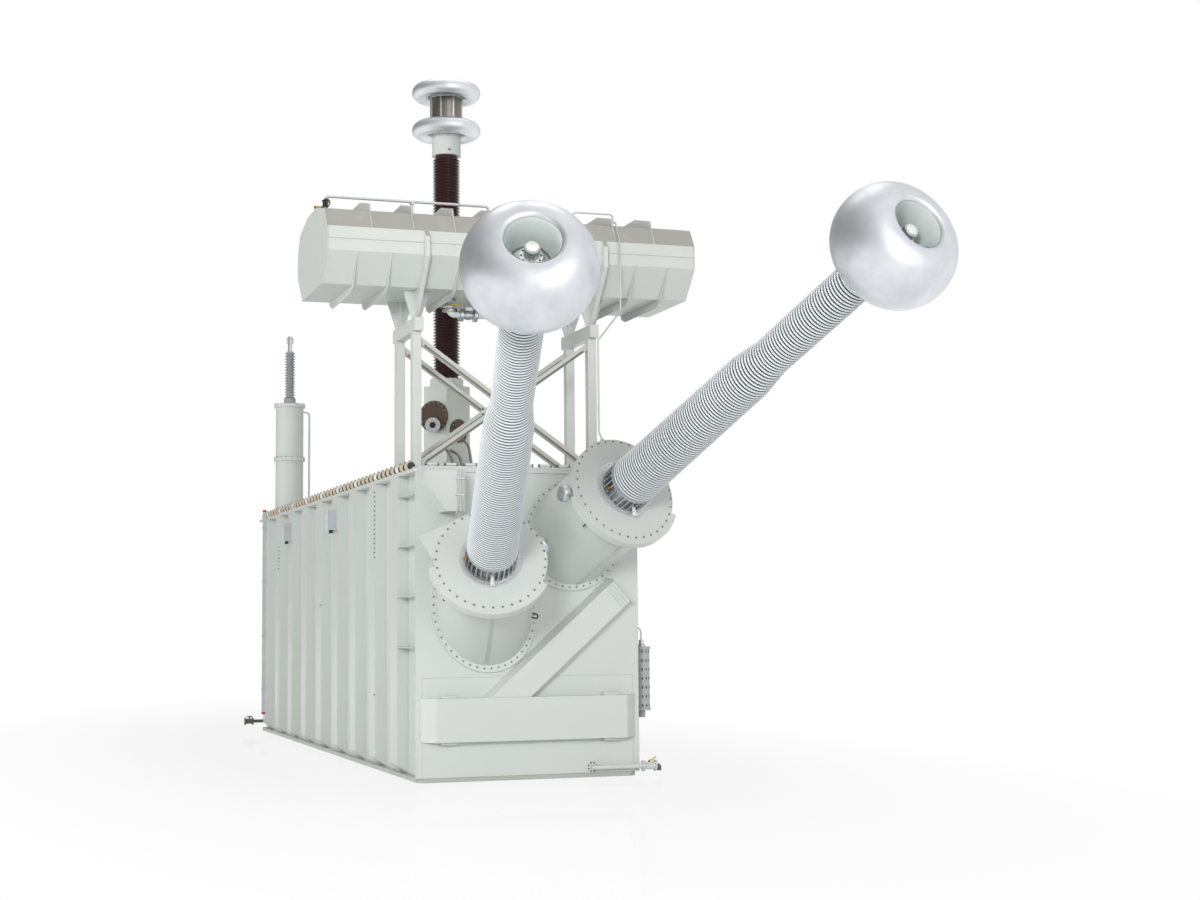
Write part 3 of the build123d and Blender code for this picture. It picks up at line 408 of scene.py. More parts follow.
def zincMaterial(name, look):
    material, tree, shader = startMaterial(name, look["metallic"], look)
    spangle = useEffect(tree, "spangle", {"Scale": look["spangleScale"]})["Value"]
    tone = addTone(tree, look, look["scale"])
    share = addMath(tree, "MULTIPLY", spangle, look["spangle"])
    color = addMix(tree, share, tone["Color"], tint(*look["spangleColor"]))
    setSurface(tree, shader, look, color, spangle)
    return material


coatDefaults = {
    "drift": 0.35,
    "scale": 0.9,
    "stretch": (1, 1, 0.35),
    "dustAndShade": 0.3,
    "dustAndShadeColor": (178, 172, 160),
    "edge": 0.012,
    "rubAndHighlight": 0.12,
    "rubAndHighlightColor": (226, 229, 222),
    "grooveShade": 0,  # how far painted shade darkens the bottoms of grooves
    "grooveShadeColor": (62, 67, 72),
    "grain": 70,
    "bump": 0.05,
    "bumpDepth": 0.004,
    "roughness": (0.36, 0.46),
}
coatLooks = {
    "tankPaint": {
        "base": (210, 215, 210),
        "shade": (201, 207, 202),
        "dustAndShade": 0.08,
        "rubAndHighlight": 0.05,
        "roughness": (0.285, 0.34),
    },
    # painted shade: a heavy up-facing mask with a darker colour darkens the conservator's upper faces
    "conservatorShadedPaint": {
        "base": (210, 215, 210),
        "shade": (201, 207, 202),
        "dustAndShade": 0.75,
        "dustAndShadeColor": (146, 138, 125),
        "rubAndHighlight": 0.05,
        "roughness": (0.285, 0.34),
    },
    # painted shade: the braces' darker paint stands in for the shade under the conservator
    "braceShadedPaint": {"base": (200, 202, 196), "shade": (186, 187, 180), "roughness": (0.3, 0.38)},
    # painted shade: the base plate's darker paint stands in for the shade along its lower edge
    "baseShadedPaint": {"base": (182, 187, 180), "shade": (164, 170, 162), "dustAndShade": 0.1, "roughness": (0.3, 0.38)},
    # partly the breather's own grey and partly painted shade, darker than its paint
    "breatherPaintShaded": {
        "base": (186, 189, 192),
        "shade": (158, 161, 165),
        "scale": 4,
        "roughness": (0.29, 0.36),
    },
    "valveIron": {"base": (88, 85, 82), "shade": (62, 60, 58), "scale": 6, "roughness": (0.29, 0.36)},
    # painted shade for the dark strips along the braces' angles
    "braceStripShade": {"base": (122, 120, 110), "shade": (98, 96, 88), "roughness": (0.4, 0.5)},
    "siliconeSheds": {
        "base": (228, 234, 237),
        "shade": (219, 226, 230),
        "scale": 2.2,
        "stretch": (1, 1, 1),
        "dustAndShade": 0.1,
        "edge": 0.003,
        "rubAndHighlight": 0.3,
        "rubAndHighlightColor": (228, 232, 235),
        "grooveShade": 0.96,
        "roughness": (0.42, 0.52),
        "bump": 0.03,
    },
    "brownPorcelain": {
        "base": (58, 21, 22),
        "shade": (40, 14, 15),
        "dustAndShade": 0.04,
        "edge": 0.003,
        "rubAndHighlightColor": (112, 54, 50),
        "roughness": (0.1, 0.16),
        "bump": 0.02,
    },
    "greyPorcelain": {
        "base": (166, 169, 171),
        "shade": (146, 150, 153),
        "dustAndShade": 0.2,
        "edge": 0.003,
        "roughness": (0.18, 0.25),
        "bump": 0.02,
    },
    "clampCover": {
        "base": (206, 194, 172),
        "shade": (184, 168, 142),
        "scale": 6,
        "stretch": (1, 1, 1),
        "rubAndHighlightColor": (220, 206, 180),
        "roughness": (0.6, 0.75),
    },
    "blankingCover": {
        "base": (84, 68, 56),
        "shade": (62, 51, 43),
        "scale": 5,
        "rubAndHighlightColor": (140, 84, 66),
        "roughness": (0.6, 0.72),
    },
    "darkRubber": {"base": (46, 47, 48), "shade": (34, 35, 36), "rubAndHighlightColor": (80, 80, 80), "scale": 8},
    "redCap": {"base": (190, 62, 50), "shade": (160, 48, 40), "rubAndHighlightColor": (210, 110, 96), "scale": 8},
    "yellowGrip": {"base": (222, 196, 52), "shade": (196, 166, 40), "rubAndHighlightColor": (236, 220, 130), "scale": 8},
    "whiteSleeve": {"base": (232, 233, 228), "shade": (214, 215, 208), "scale": 8},
    "paleLid": {"base": (204, 213, 218), "shade": (190, 200, 206), "scale": 6},
    # partly the throat lining's own colour and partly painted light, paler to lift the shade in the deep
    # throat
    "throatLitPaint": {
        "base": (198, 206, 203),
        "shade": (184, 193, 190),
        "dustAndShade": 0,
        "scale": 4,
        "roughness": (0.3, 0.4),
    },
    "weldSeam": {"base": (198, 204, 195), "shade": (180, 187, 176), "scale": 9, "bump": 0.3},
}
metalDefaults = {"drift": 0.8, "grain": 90, "edge": 0.006, "bump": 0.06, "bumpDepth": 0.003}
metalLooks = {
    "castAluminium": {
        "base": (214, 216, 219),
        "shade": (188, 191, 196),
        "scale": 9,
        "roughness": (0.34, 0.48),
    },
    "zincBolt": {"base": (168, 167, 162), "shade": (130, 128, 122), "scale": 20, "roughness": (0.4, 0.55)},
    # painted shade and painted reflection for the see-through inside of the ring cage
    "cageShadeMetal": {"base": (142, 137, 128), "shade": (104, 98, 89), "scale": 4, "roughness": (0.29, 0.36)},
    "brassFitting": {"base": (200, 164, 84), "shade": (168, 130, 60), "scale": 20, "roughness": (0.3, 0.42)},
}
spunLook = {
    "base": (236, 239, 243),
    "shade": (219, 223, 228),
    "drift": 0.5,
    "scale": 7,
    "patch": 0.25,
    "patchColor": (170, 176, 184),
    "rings": 36,
    "bump": 0.05,
    "bumpDepth": 0.003,
    "roughness": (0.36, 0.5),
}
zincLook = {
    "base": (208, 211, 213),
    "shade": (188, 191, 194),
    "drift": 0.6,
    "scale": 5,
    "spangle": 0.4,
    "spangleColor": (220, 223, 225),
    "spangleScale": 34,
    "metallic": 0.6,
    "roughness": (0.36, 0.5),
}

materials = {name: coatedMaterial(name, {**coatDefaults, **look}) for name, look in coatLooks.items()}
for name, look in metalLooks.items():
    materials[name] = metalMaterial(name, {**metalDefaults, **look})
materials["galvanizedSteel"] = zincMaterial("galvanizedSteel", zincLook)


# valve bushings' own frames: origin on the front wall, local z along the bushing
valveSides = {
    "left": {"offset": -0.640, "height": 2.294, "turn": -11.1, "rise": 28.3},
    "right": {"offset": 0.675, "height": 3.364, "turn": 12.7, "rise": 22.6},
}
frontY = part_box("base_plate")[0][1]


def framed(origin, axis, across):
    axis = Vector(axis).normalized()
    across = (Vector(across) - axis * Vector(across).dot(axis)).normalized()
    place = Matrix((across, axis.cross(across), axis)).transposed().to_4x4()
    place.translation = origin
    return place


def valveFrame(look):
    turn, rise = math.radians(look["turn"]), math.radians(look["rise"])
    axis = (math.sin(turn) * math.cos(rise), -math.cos(turn) * math.cos(rise), math.sin(rise))
    return framed((look["offset"], frontY, look["height"]), axis, (math.cos(turn), math.sin(turn), 0))


valveFrames = {side: valveFrame(look) for side, look in valveSides.items()}
spunAxes = {**{side: place.col[2].to_3d() for side, place in valveFrames.items()}, "upright": upward}
spunMaterials = {key: spunMaterial(f"{key}SpunAluminium", spunLook, axis) for key, axis in spunAxes.items()}

slotMaterials = {
    "tank_paint": "tankPaint",
    "cast_aluminium": "castAluminium",
    "silicone_sheds": "siliconeSheds",
    "brown_porcelain": "brownPorcelain",
    "grey_porcelain": "greyPorcelain",
    "clamp_cover": "clampCover",
    "galvanized_steel": "galvanizedSteel",
    "blanking_cover": "blankingCover",
}
nodeLooks = {  # starts of the node names whose look differs from their slot's
    "conservator": "conservatorShadedPaint",
    "front_brace": "braceShadedPaint",
    "back_brace": "braceShadedPaint",
    "base_plate": "baseShadedPaint",
    "breather": "breatherPaintShaded",
    "rear_drain": "valveIron",
    "front_drain": "tankPaint",
}


def nodeMaterial(node, slot):
    if slot == "spun_aluminium":
        return spunMaterials[node.split("_")[0] if "shield" in node else "upright"]
    for start, name in nodeLooks.items():
        if node.startswith(start):
            return materials[name]
    return materials[slotMaterials[slot]]


for entry in frame["record"]["subparts"]:
    piece = nodes[entry["node"]]
    for index in range(len(piece.data.materials)):
        piece.data.materials[index] = nodeMaterial(entry["node"], entry["material_slot"])
print("materials ready:", len(bpy.data.materials))


# mesh helpers
def addPiece(name, bm, material, sharp=32):  # edges over this many degrees stay crisp
    mesh = bpy.data.meshes.new(name)
    bmesh.ops.recalc_face_normals(bm, faces=bm.faces)
    bm.to_mesh(mesh)
    bm.free()
    mesh.shade_smooth()
    mesh.set_sharp_from_angle(angle=math.radians(sharp))
    mesh.materials.append(materials[material])
    piece = bpy.data.objects.new(name, mesh)
    scene.collection.objects.link(piece)
    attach(piece, "root")
    return piece


def addBolts(name, bm, material="zincBolt"):
    addPiece(name, bm, material, 20)


def middleOf(node):
    return [(low + high) / 2 for low, high in zip(*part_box(node))]


def turnsOf(count, start=0):  # even steps round a circle, in radians
    return [start + 2 * math.pi * i / count for i in range(count)]


def fourCorners(across, up):
    return [(dx, dy) for dx in (-across, across) for dy in (-up, up)]


def polar(radius, angle, height=0):
    return Vector((radius * math.cos(angle), radius * math.sin(angle), height))


def outward(turn):  # level direction, in degrees from the front toward the right
    return Vector((math.sin(math.radians(turn)), -math.cos(math.radians(turn)), 0))


def disc(radius, low, high):  # a plain round, as an outline for lathe
    return [(0, low), (radius, low), (radius, high), (0, high)]


def lathe(bm, profile, place, segments, depths=None):  # depths feed the painted shade in the grooves, one per point
    layer = bm.verts.layers.float.new("grooveDepth") if depths else None
    rings = []
    for index, (radius, height) in enumerate(profile):
        turns = turnsOf(segments) if radius > 0 else [0]
        ring = [bm.verts.new(place @ polar(radius, turn, height)) for turn in turns]
        for vert in ring if depths else []:
            vert[layer] = depths[index]
        rings.append(ring)
    for low, high in zip(rings, rings[1:]):
        for i in range(segments):
            j = (i + 1) % segments
            corners = [low[i % len(low)], low[j % len(low)], high[j % len(high)], high[i % len(high)]]
            corners = [corner for k, corner in enumerate(corners) if corner not in corners[:k]]
            if len(corners) > 2:
                bm.faces.new(corners)


def roundedBox(bm, place, size, edge):
    made = bmesh.ops.create_cube(bm, size=1, matrix=place @ Matrix.Diagonal((*size, 1)))
    sides = dict.fromkeys(side for corner in made["verts"] for side in corner.link_edges)  # each once
    bmesh.ops.bevel(bm, geom=list(sides), offset=edge, segments=2, affect="EDGES", profile=0.6)


def roundedPath(points, bend, steps=6):
    points = [Vector(point) for point in points]
    path = [points[0]]
    for before, corner, after in zip(points, points[1:], points[2:]):
        start = corner + (before - corner).normalized() * min(bend, (before - corner).length / 2)
        end = corner + (after - corner).normalized() * min(bend, (after - corner).length / 2)
        for step in range(steps + 1):
            t = step / steps
            path.append(start * (1 - t) ** 2 + corner * 2 * t * (1 - t) + end * t * t)
    return path + [points[-1]]


def tube(bm, path, radius, segments=12):
    rings = []
    across = (path[1] - path[0]).orthogonal()
    turns = turnsOf(segments)
    for i, point in enumerate(path):
        ahead = (path[min(i + 1, len(path) - 1)] - path[max(i - 1, 0)]).normalized()
        across = (across - ahead * across.dot(ahead)).normalized()
        other = ahead.cross(across)
        outs = [across * math.cos(turn) + other * math.sin(turn) for turn in turns]
        rings.append([bm.verts.new(point + out * radius) for out in outs])
    for low, high in zip(rings, rings[1:]):
        for i in range(segments):
            j = (i + 1) % segments
            bm.faces.new((low[i], low[j], high[j], high[i]))
    bm.faces.new(rings[0])
    bm.faces.new(rings[-1])


boltShape = {  # shares of the nut's radius
    "washer": (1.3, 0.2),  # radius, thickness
    "nut": [(0, 0.2), (1, 0.2), (1, 0.85), (0.86, 1), (0.5, 1)],
    "stud": [(0.5, 1.35), (0.4, 1.45), (0, 1.45)],
}


def hexBolt(bm, place, size):  # size is the nut's radius
    reach, thick = boltShape["washer"]
    lathe(bm, disc(reach * size, 0, thick * size), place, 12)
    lathe(bm, [(r * size, z * size) for r, z in boltShape["nut"] + boltShape["stud"]], place, 6)


def ringPlaces(place, radius, height, count, start=0):
    for turn in turnsOf(count, start):
        yield place @ Matrix.Translation(polar(radius, turn, height))


def boltRing(bm, place, ring, height=0, start=0):  # ring is its radius, the count and the bolts' size
    radius, count, size = ring
    for spot in ringPlaces(place, radius, height, count, start):
        hexBolt(bm, spot, size)


# bushing sheds with rolled lips, in the place of the plain cones
shedLooks = {
    "valve": {"pitch": 0.0515, "depth": 0.052, "cap": 0.04, "segments": 72, "shape": "broad"},
    "line": {"pitch": 0.050, "depth": 0.040, "segments": 64, "shape": "thin", "foot": None},
    "neutral": {
        "pitch": 0.056,
        "depth": 0.040,
        "segments": 48,
        "shape": "thin",
        "foot": {"height": 0.12, "radius": 0.12, "shedRadius": 0.11},
    },
}
shedShapes = {  # depth below the tip and rise from the root, as shares of depth and pitch
    "broad": [
        (1.0, 0.0),
        (0.95, 0.09),
        (0.14, 0.19),
        (0.02, 0.24),
        (0.0, 0.32),
        (0.03, 0.5),
        (0.15, 0.68),
        (0.95, 0.86),
    ],
    "thin": [
        (1.0, 0.0),
        (0.94, 0.16),
        (0.16, 0.3),
        (0.03, 0.33),
        (0.0, 0.38),
        (0.04, 0.44),
        (0.3, 0.56),
        (0.94, 0.86),
    ],
}
valveShape = {  # distances along the bushing from the front wall
    "start": 1.72,
    "coneStart": 4.52,
    "coneEnd": 5.0,
    "end": 7.53,
    "radii": (0.335, 0.303, 0.248),  # at the foot, below the cone and above it
}


def valveRadius(height):
    foot, lower, upper = valveShape["radii"]
    if height < valveShape["coneStart"]:
        share = (height - valveShape["start"]) / (valveShape["coneStart"] - valveShape["start"])
        return foot + (lower - foot) * share
    share = min((height - valveShape["coneStart"]) / (valveShape["coneEnd"] - valveShape["coneStart"]), 1)
    return lower + (upper - lower) * share


def fitCount(length, pitch):
    return int(length / pitch + 1e-6)  # the hair keeps an even fit whole


def shedProfile(look, start, count, radiusAt):
    profile, depths = [], []
    for i in range(count):
        root = start + i * look["pitch"]
        for inset, rise in shedShapes[look["shape"]]:
            height = root + rise * look["pitch"]
            profile.append((radiusAt(height) - inset * look["depth"], height))
            depths.append(inset)
    return profile, depths


def makeValveSheds(side):
    look = shedLooks["valve"]
    start, end = valveShape["start"], valveShape["end"]
    count = fitCount(end - look["cap"] - start, look["pitch"])
    last = start + count * look["pitch"]
    upper = valveShape["radii"][2]
    sheds, depths = shedProfile(look, start, count, valveRadius)
    profile = [(0, start)] + sheds + [(upper - look["depth"], last), (upper, last), (upper, end), (0, end)]
    bm = bmesh.new()
    lathe(bm, profile, valveFrames[side], look["segments"], [1] + depths + [1, 0, 0, 0])
    piece = addPiece(f"{side}Sheds", bm, "siliconeSheds", 50)
    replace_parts(piece, f"{side}_bushing")


def makeUprightSheds(node, key, material):
    look = shedLooks[key]
    foot = look["foot"]
    low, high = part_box(node)
    x, y, _ = middleOf(node)
    reach = foot["shedRadius"] if foot else (high[0] - low[0]) / 2
    start = low[2] + (foot["height"] if foot else 0)
    count = fitCount(high[2] - start, look["pitch"])
    root = reach - look["depth"]
    profile = [(0, low[2])]
    if foot:
        profile += [(foot["radius"], low[2]), (foot["radius"], start)]
    plain = [0] * len(profile)
    sheds, depths = shedProfile(look, start, count, lambda height: reach)
    profile += sheds + [(root, start + count * look["pitch"]), (root, high[2]), (0, high[2])]
    bm = bmesh.new()
    lathe(bm, profile, Matrix.Translation((x, y, 0)), look["segments"], plain + depths + [1, 1, 0])
    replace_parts(addPiece(f"{key}Sheds", bm, material, 50), node)


for side in valveFrames:
    makeValveSheds(side)
makeUprightSheds("line_bushing", "line", "brownPorcelain")
makeUprightSheds("neutral_bushing", "neutral", "greyPorcelain")
print("sheds ready")


# bolts on the turrets' covers, wall flanges and bushing flanges
turretBolts = {  # rings as radius, count and bolt size
    "cover": (0.717, 36, 0.0115),
    "coverFace": 1.42,  # distance along the bushing from the front wall
    "flange": (0.322, 28, 0.013),
    "flangeFace": 1.47,
    "flangeStart": 0.112,  # radians
    "wall": (0.698, 44, 0.0105),
    "wallFace": 0.035,  # out from the front wall
}


def makeTurretBolts(side, look):
    place = valveFrames[side]
    bm = bmesh.new()
    boltRing(bm, place, look["cover"], look["coverFace"])
    boltRing(bm, place, look["flange"], look["flangeFace"], look["flangeStart"])
    axis = place.col[2].to_3d()
    radius, count, size = look["wall"]
    for spot in ringPlaces(place, radius, 0, count):
        foot = spot.translation + axis * ((frontY - look["wallFace"] - spot.translation.y) / axis.y)
        hexBolt(bm, framed(foot, frontward, rightward), size)
    addBolts(f"{side}TurretBolts", bm)


for side in valveFrames:
    makeTurretBolts(side, turretBolts)
print("turret bolts ready")


# connectors on the terminal studs, and the linings of the shields' throats
connectorLook = {
    "flange": (0.125, 7.63, 0.03),  # radius, distance along the bushing, thickness
    "cap": (0.07, 7.785, 0.03),
    "capTop": 0.8,  # share of the cap's radius and height where its top turns in
    "bolts": (0.106, 10, 0.01),
}
throatLook = {
    "low": 7.535,
    "radius": 0.233,
    "flare": 0.115,
    "height": 0.42,
    "turns": range(0, 67, 6),  # degrees up the rolled lip
    "skin": 0.004,
}


def makeConnector(side, look):
    place = valveFrames[side]
    bm = bmesh.new()
    radius, low, thick = look["flange"]
    lathe(bm, disc(radius, low, low + thick), place, 40)
    radius, base, height = look["cap"]
    share = look["capTop"]
    top = [(radius, base + share * height), (share * radius, base + height), (0, base + height)]
    lathe(bm, [(0, base), (radius, base)] + top, place, 32)
    addPiece(f"{side}Connector", bm, "whiteSleeve")
    bm = bmesh.new()
    boltRing(bm, place, look["bolts"], low + thick)
    addBolts(f"{side}ConnectorBolts", bm)


def makeThroatLining(side, look):
    inner, outer = [], []
    for degrees in look["turns"]:
        turn = math.radians(degrees)
        radius = look["radius"] + look["flare"] * (1 - math.cos(turn))
        height = look["low"] + look["height"] * math.sin(turn)
        inner.append((radius - look["skin"], height))
        outer.append((radius, height))
    bm = bmesh.new()
    profile = [(0, look["low"])] + inner + outer[::-1] + [(0, look["low"] - look["skin"])]
    lathe(bm, profile, valveFrames[side], 64)
    addPiece(f"{side}ThroatLining", bm, "throatLitPaint", 40)


for side in valveFrames:
    makeConnector(side, connectorLook)
    makeThroatLining(side, throatLook)


# small fittings on the turrets: test tap, brass plug, lifting bars and the seam below
turretFittings = {  # bearings in degrees round the bushing, stations along it
    "tap": {"bearing": -90, "station": 1.52, "span": (0.28, 0.43), "radius": 0.024},
    "tapCap": [(0, -0.03), (0.034, -0.03), (0.034, 0.008), (0.022, 0.016), (0, 0.016)],
    "plug": {"bearing": 191, "station": 1.56, "span": (0.28, 0.37), "radius": 0.016},
    "plugHead": (0.026, -0.03, 0),  # radius, from, to
    "bars": {"left": ((-146, 1.05), (-18, 0.2)), "right": ((-144, 1.12), (-18, 0.5))},  # bearing, station
    "barLength": 0.12,
    "barReach": 0.08,
    "barRoot": 0.01,
    "barBend": 0.05,
    "barRadius": 0.011,
    "wall": 0.66,  # the turret's radius
    "seam": {"bearing": -88, "stations": (-0.25, 1.28), "size": (0.05, 0.018), "edge": 0.006},
}


def valvePoint(side, station, bearing, radius):
    return valveFrames[side] @ polar(radius, math.radians(bearing), station)


def makeRadialStub(bm, side, look, segments):  # out of the bushing's foot; gives the place of its end
    ends = [valvePoint(side, look["station"], look["bearing"], radius) for radius in look["span"]]
    tube(bm, ends, look["radius"], segments)
    return framed(ends[1], ends[1] - ends[0], rightward)


def makeTurretFittings(side, look):
    bm = bmesh.new()
    end = makeRadialStub(bm, side, look["tap"], 16)
    lathe(bm, look["tapCap"], end, 20)
    addPiece(f"{side}TestTap", bm, "whiteSleeve")
    bm = bmesh.new()
    end = makeRadialStub(bm, side, look["plug"], 12)
    lathe(bm, disc(*look["plugHead"]), end, 6)
    addPiece(f"{side}BrassPlug", bm, "brassFitting", 20)
    bm = bmesh.new()
    root, out = look["wall"] - look["barRoot"], look["wall"] + look["barReach"]
    for bearing, first in look["bars"][side]:
        last = first + look["barLength"]
        stops = [(first, root), (first, out), (last, out), (last, root)]
        path = [valvePoint(side, station, bearing, radius) for station, radius in stops]
        tube(bm, roundedPath(path, look["barBend"]), look["barRadius"])
    addPiece(f"{side}LiftingBars", bm, "darkRubber")
    bm = bmesh.new()
    seam = look["seam"]
    ends = [valvePoint(side, station, seam["bearing"], look["wall"]) for station in seam["stations"]]
    middle, run = (ends[0] + ends[1]) / 2, ends[1] - ends[0]
    facing = middle - valveFrames[side] @ Vector((0, 0, sum(seam["stations"]) / 2))
    roundedBox(bm, framed(middle, facing, run), (run.length, *seam["size"]), seam["edge"])
    addPiece(f"{side}TurretSeam", bm, "weldSeam")


# flat rings that hold the fluted castings down on the covers
seatRing = {
    "inner": 0.3,
    "outer": 0.415,
    "low": 1.415,
    "high": 1.445,
    "chamfer": 0.008,
    "bolts": (0.39, 28, 0.009),
}


def makeSeatRing(side, look):
    inner, outer, low, high, chamfer = (look[key] for key in ("inner", "outer", "low", "high", "chamfer"))
    bm = bmesh.new()
    profile = [(inner, low), (outer, low), (outer, high - chamfer), (outer - chamfer, high), (inner, high)]
    lathe(bm, profile + profile[:1], valveFrames[side], 64)
    boltRing(bm, valveFrames[side], look["bolts"], high)
    addPiece(f"{side}SeatRing", bm, "galvanizedSteel", 25)


for side in valveFrames:
    makeTurretFittings(side, turretFittings)
    makeSeatRing(side, seatRing)
print("turret fittings ready")


# cover clamps as padded rolls with a bolt each, and the sleeves along the front edge
clampLook = {
    "pitch": 0.29,
    "width": 0.11,  # of the plain clamp, to find the row's first place
    "length": 0.17,
    "radius": 0.068,
    "rim": 0.03,
    "end": [(0, 0), (0.72, 0), (0.93, 0.4), (1, 1)],  # outline of a roll's end, as shares of radius and rim
    "inset": 0.8,  # share of the radius, back from the row's outer side
    "strap": 0.014,
    "strapReach": 0.8,  # share of the radius
    "sink": 0.003,
    "bolt": 0.016,
    "paleEvery": 5,
    "paleFirst": 2,
}
sleeveLook = {
    "length": 0.17,
    "pitch": 0.27,
    "radius": 0.02,
    "nut": 0.026,
    "nutHalf": 0.012,
    "count": 11,
    "inset": 0.03,
}


def makeClamps(look):
    low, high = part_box("cover_clamps")
    count = round((high[1] - low[1] - look["width"]) / look["pitch"]) + 1
    radius, length, strap, sink = (look[key] for key in ("radius", "length", "strap", "sink"))
    roll = [(r * radius, z * look["rim"]) for r, z in look["end"]]
    roll += [(r, length - z) for r, z in reversed(roll)]
    band = disc(look["strapReach"] * radius, 0, strap)
    pads, pale, straps, bolts = (bmesh.new() for _ in range(4))
    for sign in (-1, 1):
        x, z = sign * (high[0] - look["inset"] * radius), (low[2] + high[2]) / 2
        for i in range(count):
            y = low[1] + look["width"] / 2 + i * look["pitch"]
            pad = pale if i % look["paleEvery"] == look["paleFirst"] else pads
            lathe(pad, roll, framed((x, y - length / 2, z), rearward, rightward), 24)
            for back in (-length / 2 - strap + sink, length / 2 - sink):
                lathe(straps, band, framed((x, y + back, z), rearward, rightward), 20)
            hexBolt(bolts, Matrix.Translation((x, y, z + radius - sink)), look["bolt"])
    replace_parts(addPiece("clampPads", pads, "clampCover"), "cover_clamps")
    addPiece("clampPadsPale", pale, "whiteSleeve")
    addPiece("clampStraps", straps, "darkRubber")
    addBolts("clampBolts", bolts)


def makeSleeves(look):
    low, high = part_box("cover_plate")
    bodies, caps = bmesh.new(), bmesh.new()
    nut = disc(look["nut"], -look["nutHalf"], look["nutHalf"])
    for i in range(look["count"]):
        x = (i - (look["count"] - 1) / 2) * look["pitch"]
        start = Vector((x - look["length"] / 2, low[1] + look["inset"], high[2] + look["nut"]))
        end = start + Vector((look["length"], 0, 0))
        tube(bodies, [start, end], look["radius"], 16)
        for point in (start, end):
            lathe(caps, nut, framed(point, rightward, rearward), 6)
    addPiece("edgeSleeves", bodies, "whiteSleeve")
    addBolts("edgeSleeveNuts", caps)


makeClamps(clampLook)
makeSleeves(sleeveLook)
print("cover edge ready")


# valves: a flanged body, a stem and a lever or a handwheel
bodyShape = {"flange": 0.18, "neck": (0.8, 1.4), "belly": 0.42}  # flange and belly are shares of the length
wheelShape = {"steps": 32, "spokes": 4, "spoke": 0.7, "hub": 2}  # spoke and hub are shares of the rim's bar


def flangedBody(bm, place, length, radius, flange):
    thick = bodyShape["flange"] * length
    narrow, back = bodyShape["neck"]
    profile = [(0, 0), (flange, 0), (flange, thick), (narrow * radius, back * thick)]
    profile += [(radius, bodyShape["belly"] * length)]
    profile += [(r, length - z) for r, z in reversed(profile)]
    lathe(bm, profile, place, 28)


def handwheel(bm, place, radius, bar):
    rim = [place @ polar(radius, turn) for turn in turnsOf(wheelShape["steps"]) + [2 * math.pi]]
    tube(bm, rim, bar, 8)
    for turn in turnsOf(wheelShape["spokes"]):
        tube(bm, [place.translation, place @ polar(radius, turn)], wheelShape["spoke"] * bar, 6)
    hub = wheelShape["hub"] * bar
    lathe(bm, disc(hub, -hub, hub), place, 12)


ventValve = {
    "inset": 0.02,
    "level": 0.09,
    "body": (0.1, 0.04, 0.05),  # length, radius, flange
    "stem": (0.1, 0.012),  # length, radius
    "wheel": (0.05, 0.009),  # radius, bar
    "outlet": (-0.16, 0, -0.01),
    "outletDrop": 0.05,  # below the middle of the body
    "outletRadius": 0.014,
    "outletNut": (0.024, -0.05, 0),  # radius, from, to
    "collar": (0.036, 0, 0.03),
    "collarX": -1.257,
    "collarInsets": (0.02, 0.06),  # from the pipe's bottom and top
}


def makeVentValve(look):
    low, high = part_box("vent_pipe")
    x, y, z = low[0] + look["inset"], (low[1] + high[1]) / 2, low[2] + look["level"]
    length, radius, flange = look["body"]
    bm = bmesh.new()
    flangedBody(bm, Matrix.Translation((x, y, z)), length, radius, flange)
    middle = Vector((x, y, z + length / 2))
    reach, thick = look["stem"]
    tip = middle + Vector((0, -reach, 0))
    tube(bm, [middle, tip], thick, 10)
    handwheel(bm, framed(tip, frontward, rightward), *look["wheel"])
    addPiece("ventValve", bm, "darkRubber")
    bm = bmesh.new()
    start = middle - Vector((0, 0, look["outletDrop"]))
    end = start + Vector(look["outlet"])
    tube(bm, [start, end], look["outletRadius"], 12)
    lathe(bm, disc(*look["outletNut"]), framed(end, leftward, rearward), 6)
    addPiece("ventOutlet", bm, "brassFitting", 20)
    bm = bmesh.new()
    below, above = look["collarInsets"]
    for level in (below, high[2] - low[2] - above):
        lathe(bm, disc(*look["collar"]), Matrix.Translation((look["collarX"], y, low[2] + level)), 16)
    addPiece("ventPostCollars", bm, "castAluminium")


oilValve = {
    "x": -0.7,
    "top": 0.02,
    "body": (0.17, 0.07, 0.1),  # length, radius, flange
    "lever": [(0, 0, 0), (0, -0.06, 0), (0.16, -0.07, 0.02)],
    "leverRadius": 0.014,
    "bolts": (0.085, 8, 0.01),
    "boltFace": 0.031,
}


def makeOilValve(look):
    length, radius, flange = look["body"]
    foot = Vector((look["x"], middleOf("oil_pipe")[1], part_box("oil_pipe")[1][2] - look["top"] - length))
    bm = bmesh.new()
    flangedBody(bm, Matrix.Translation(foot), length, radius, flange)
    addPiece("oilValve", bm, "castAluminium")
    bm = bmesh.new()
    hub = foot + Vector((0, -radius, length / 2))
    tube(bm, [hub + Vector(step) for step in look["lever"]], look["leverRadius"], 10)
    addPiece("oilValveLever", bm, "yellowGrip")
    bm = bmesh.new()
    boltRing(bm, Matrix.Translation(foot), look["bolts"], look["boltFace"])
    addBolts("oilValveBolts", bm)


# relay in the level run of the oil pipe
relayLook = {
    "start": -0.54,
    "drop": 0.23,
    "body": (0.26, 0.07, 0.095),  # length, radius, flange
    "lid": (0.11, 0.11, 0.08),
    "lidSink": 0.01,
    "lidEdge": 0.01,
    "bolts": (0.0855, 8, 0.009),
}


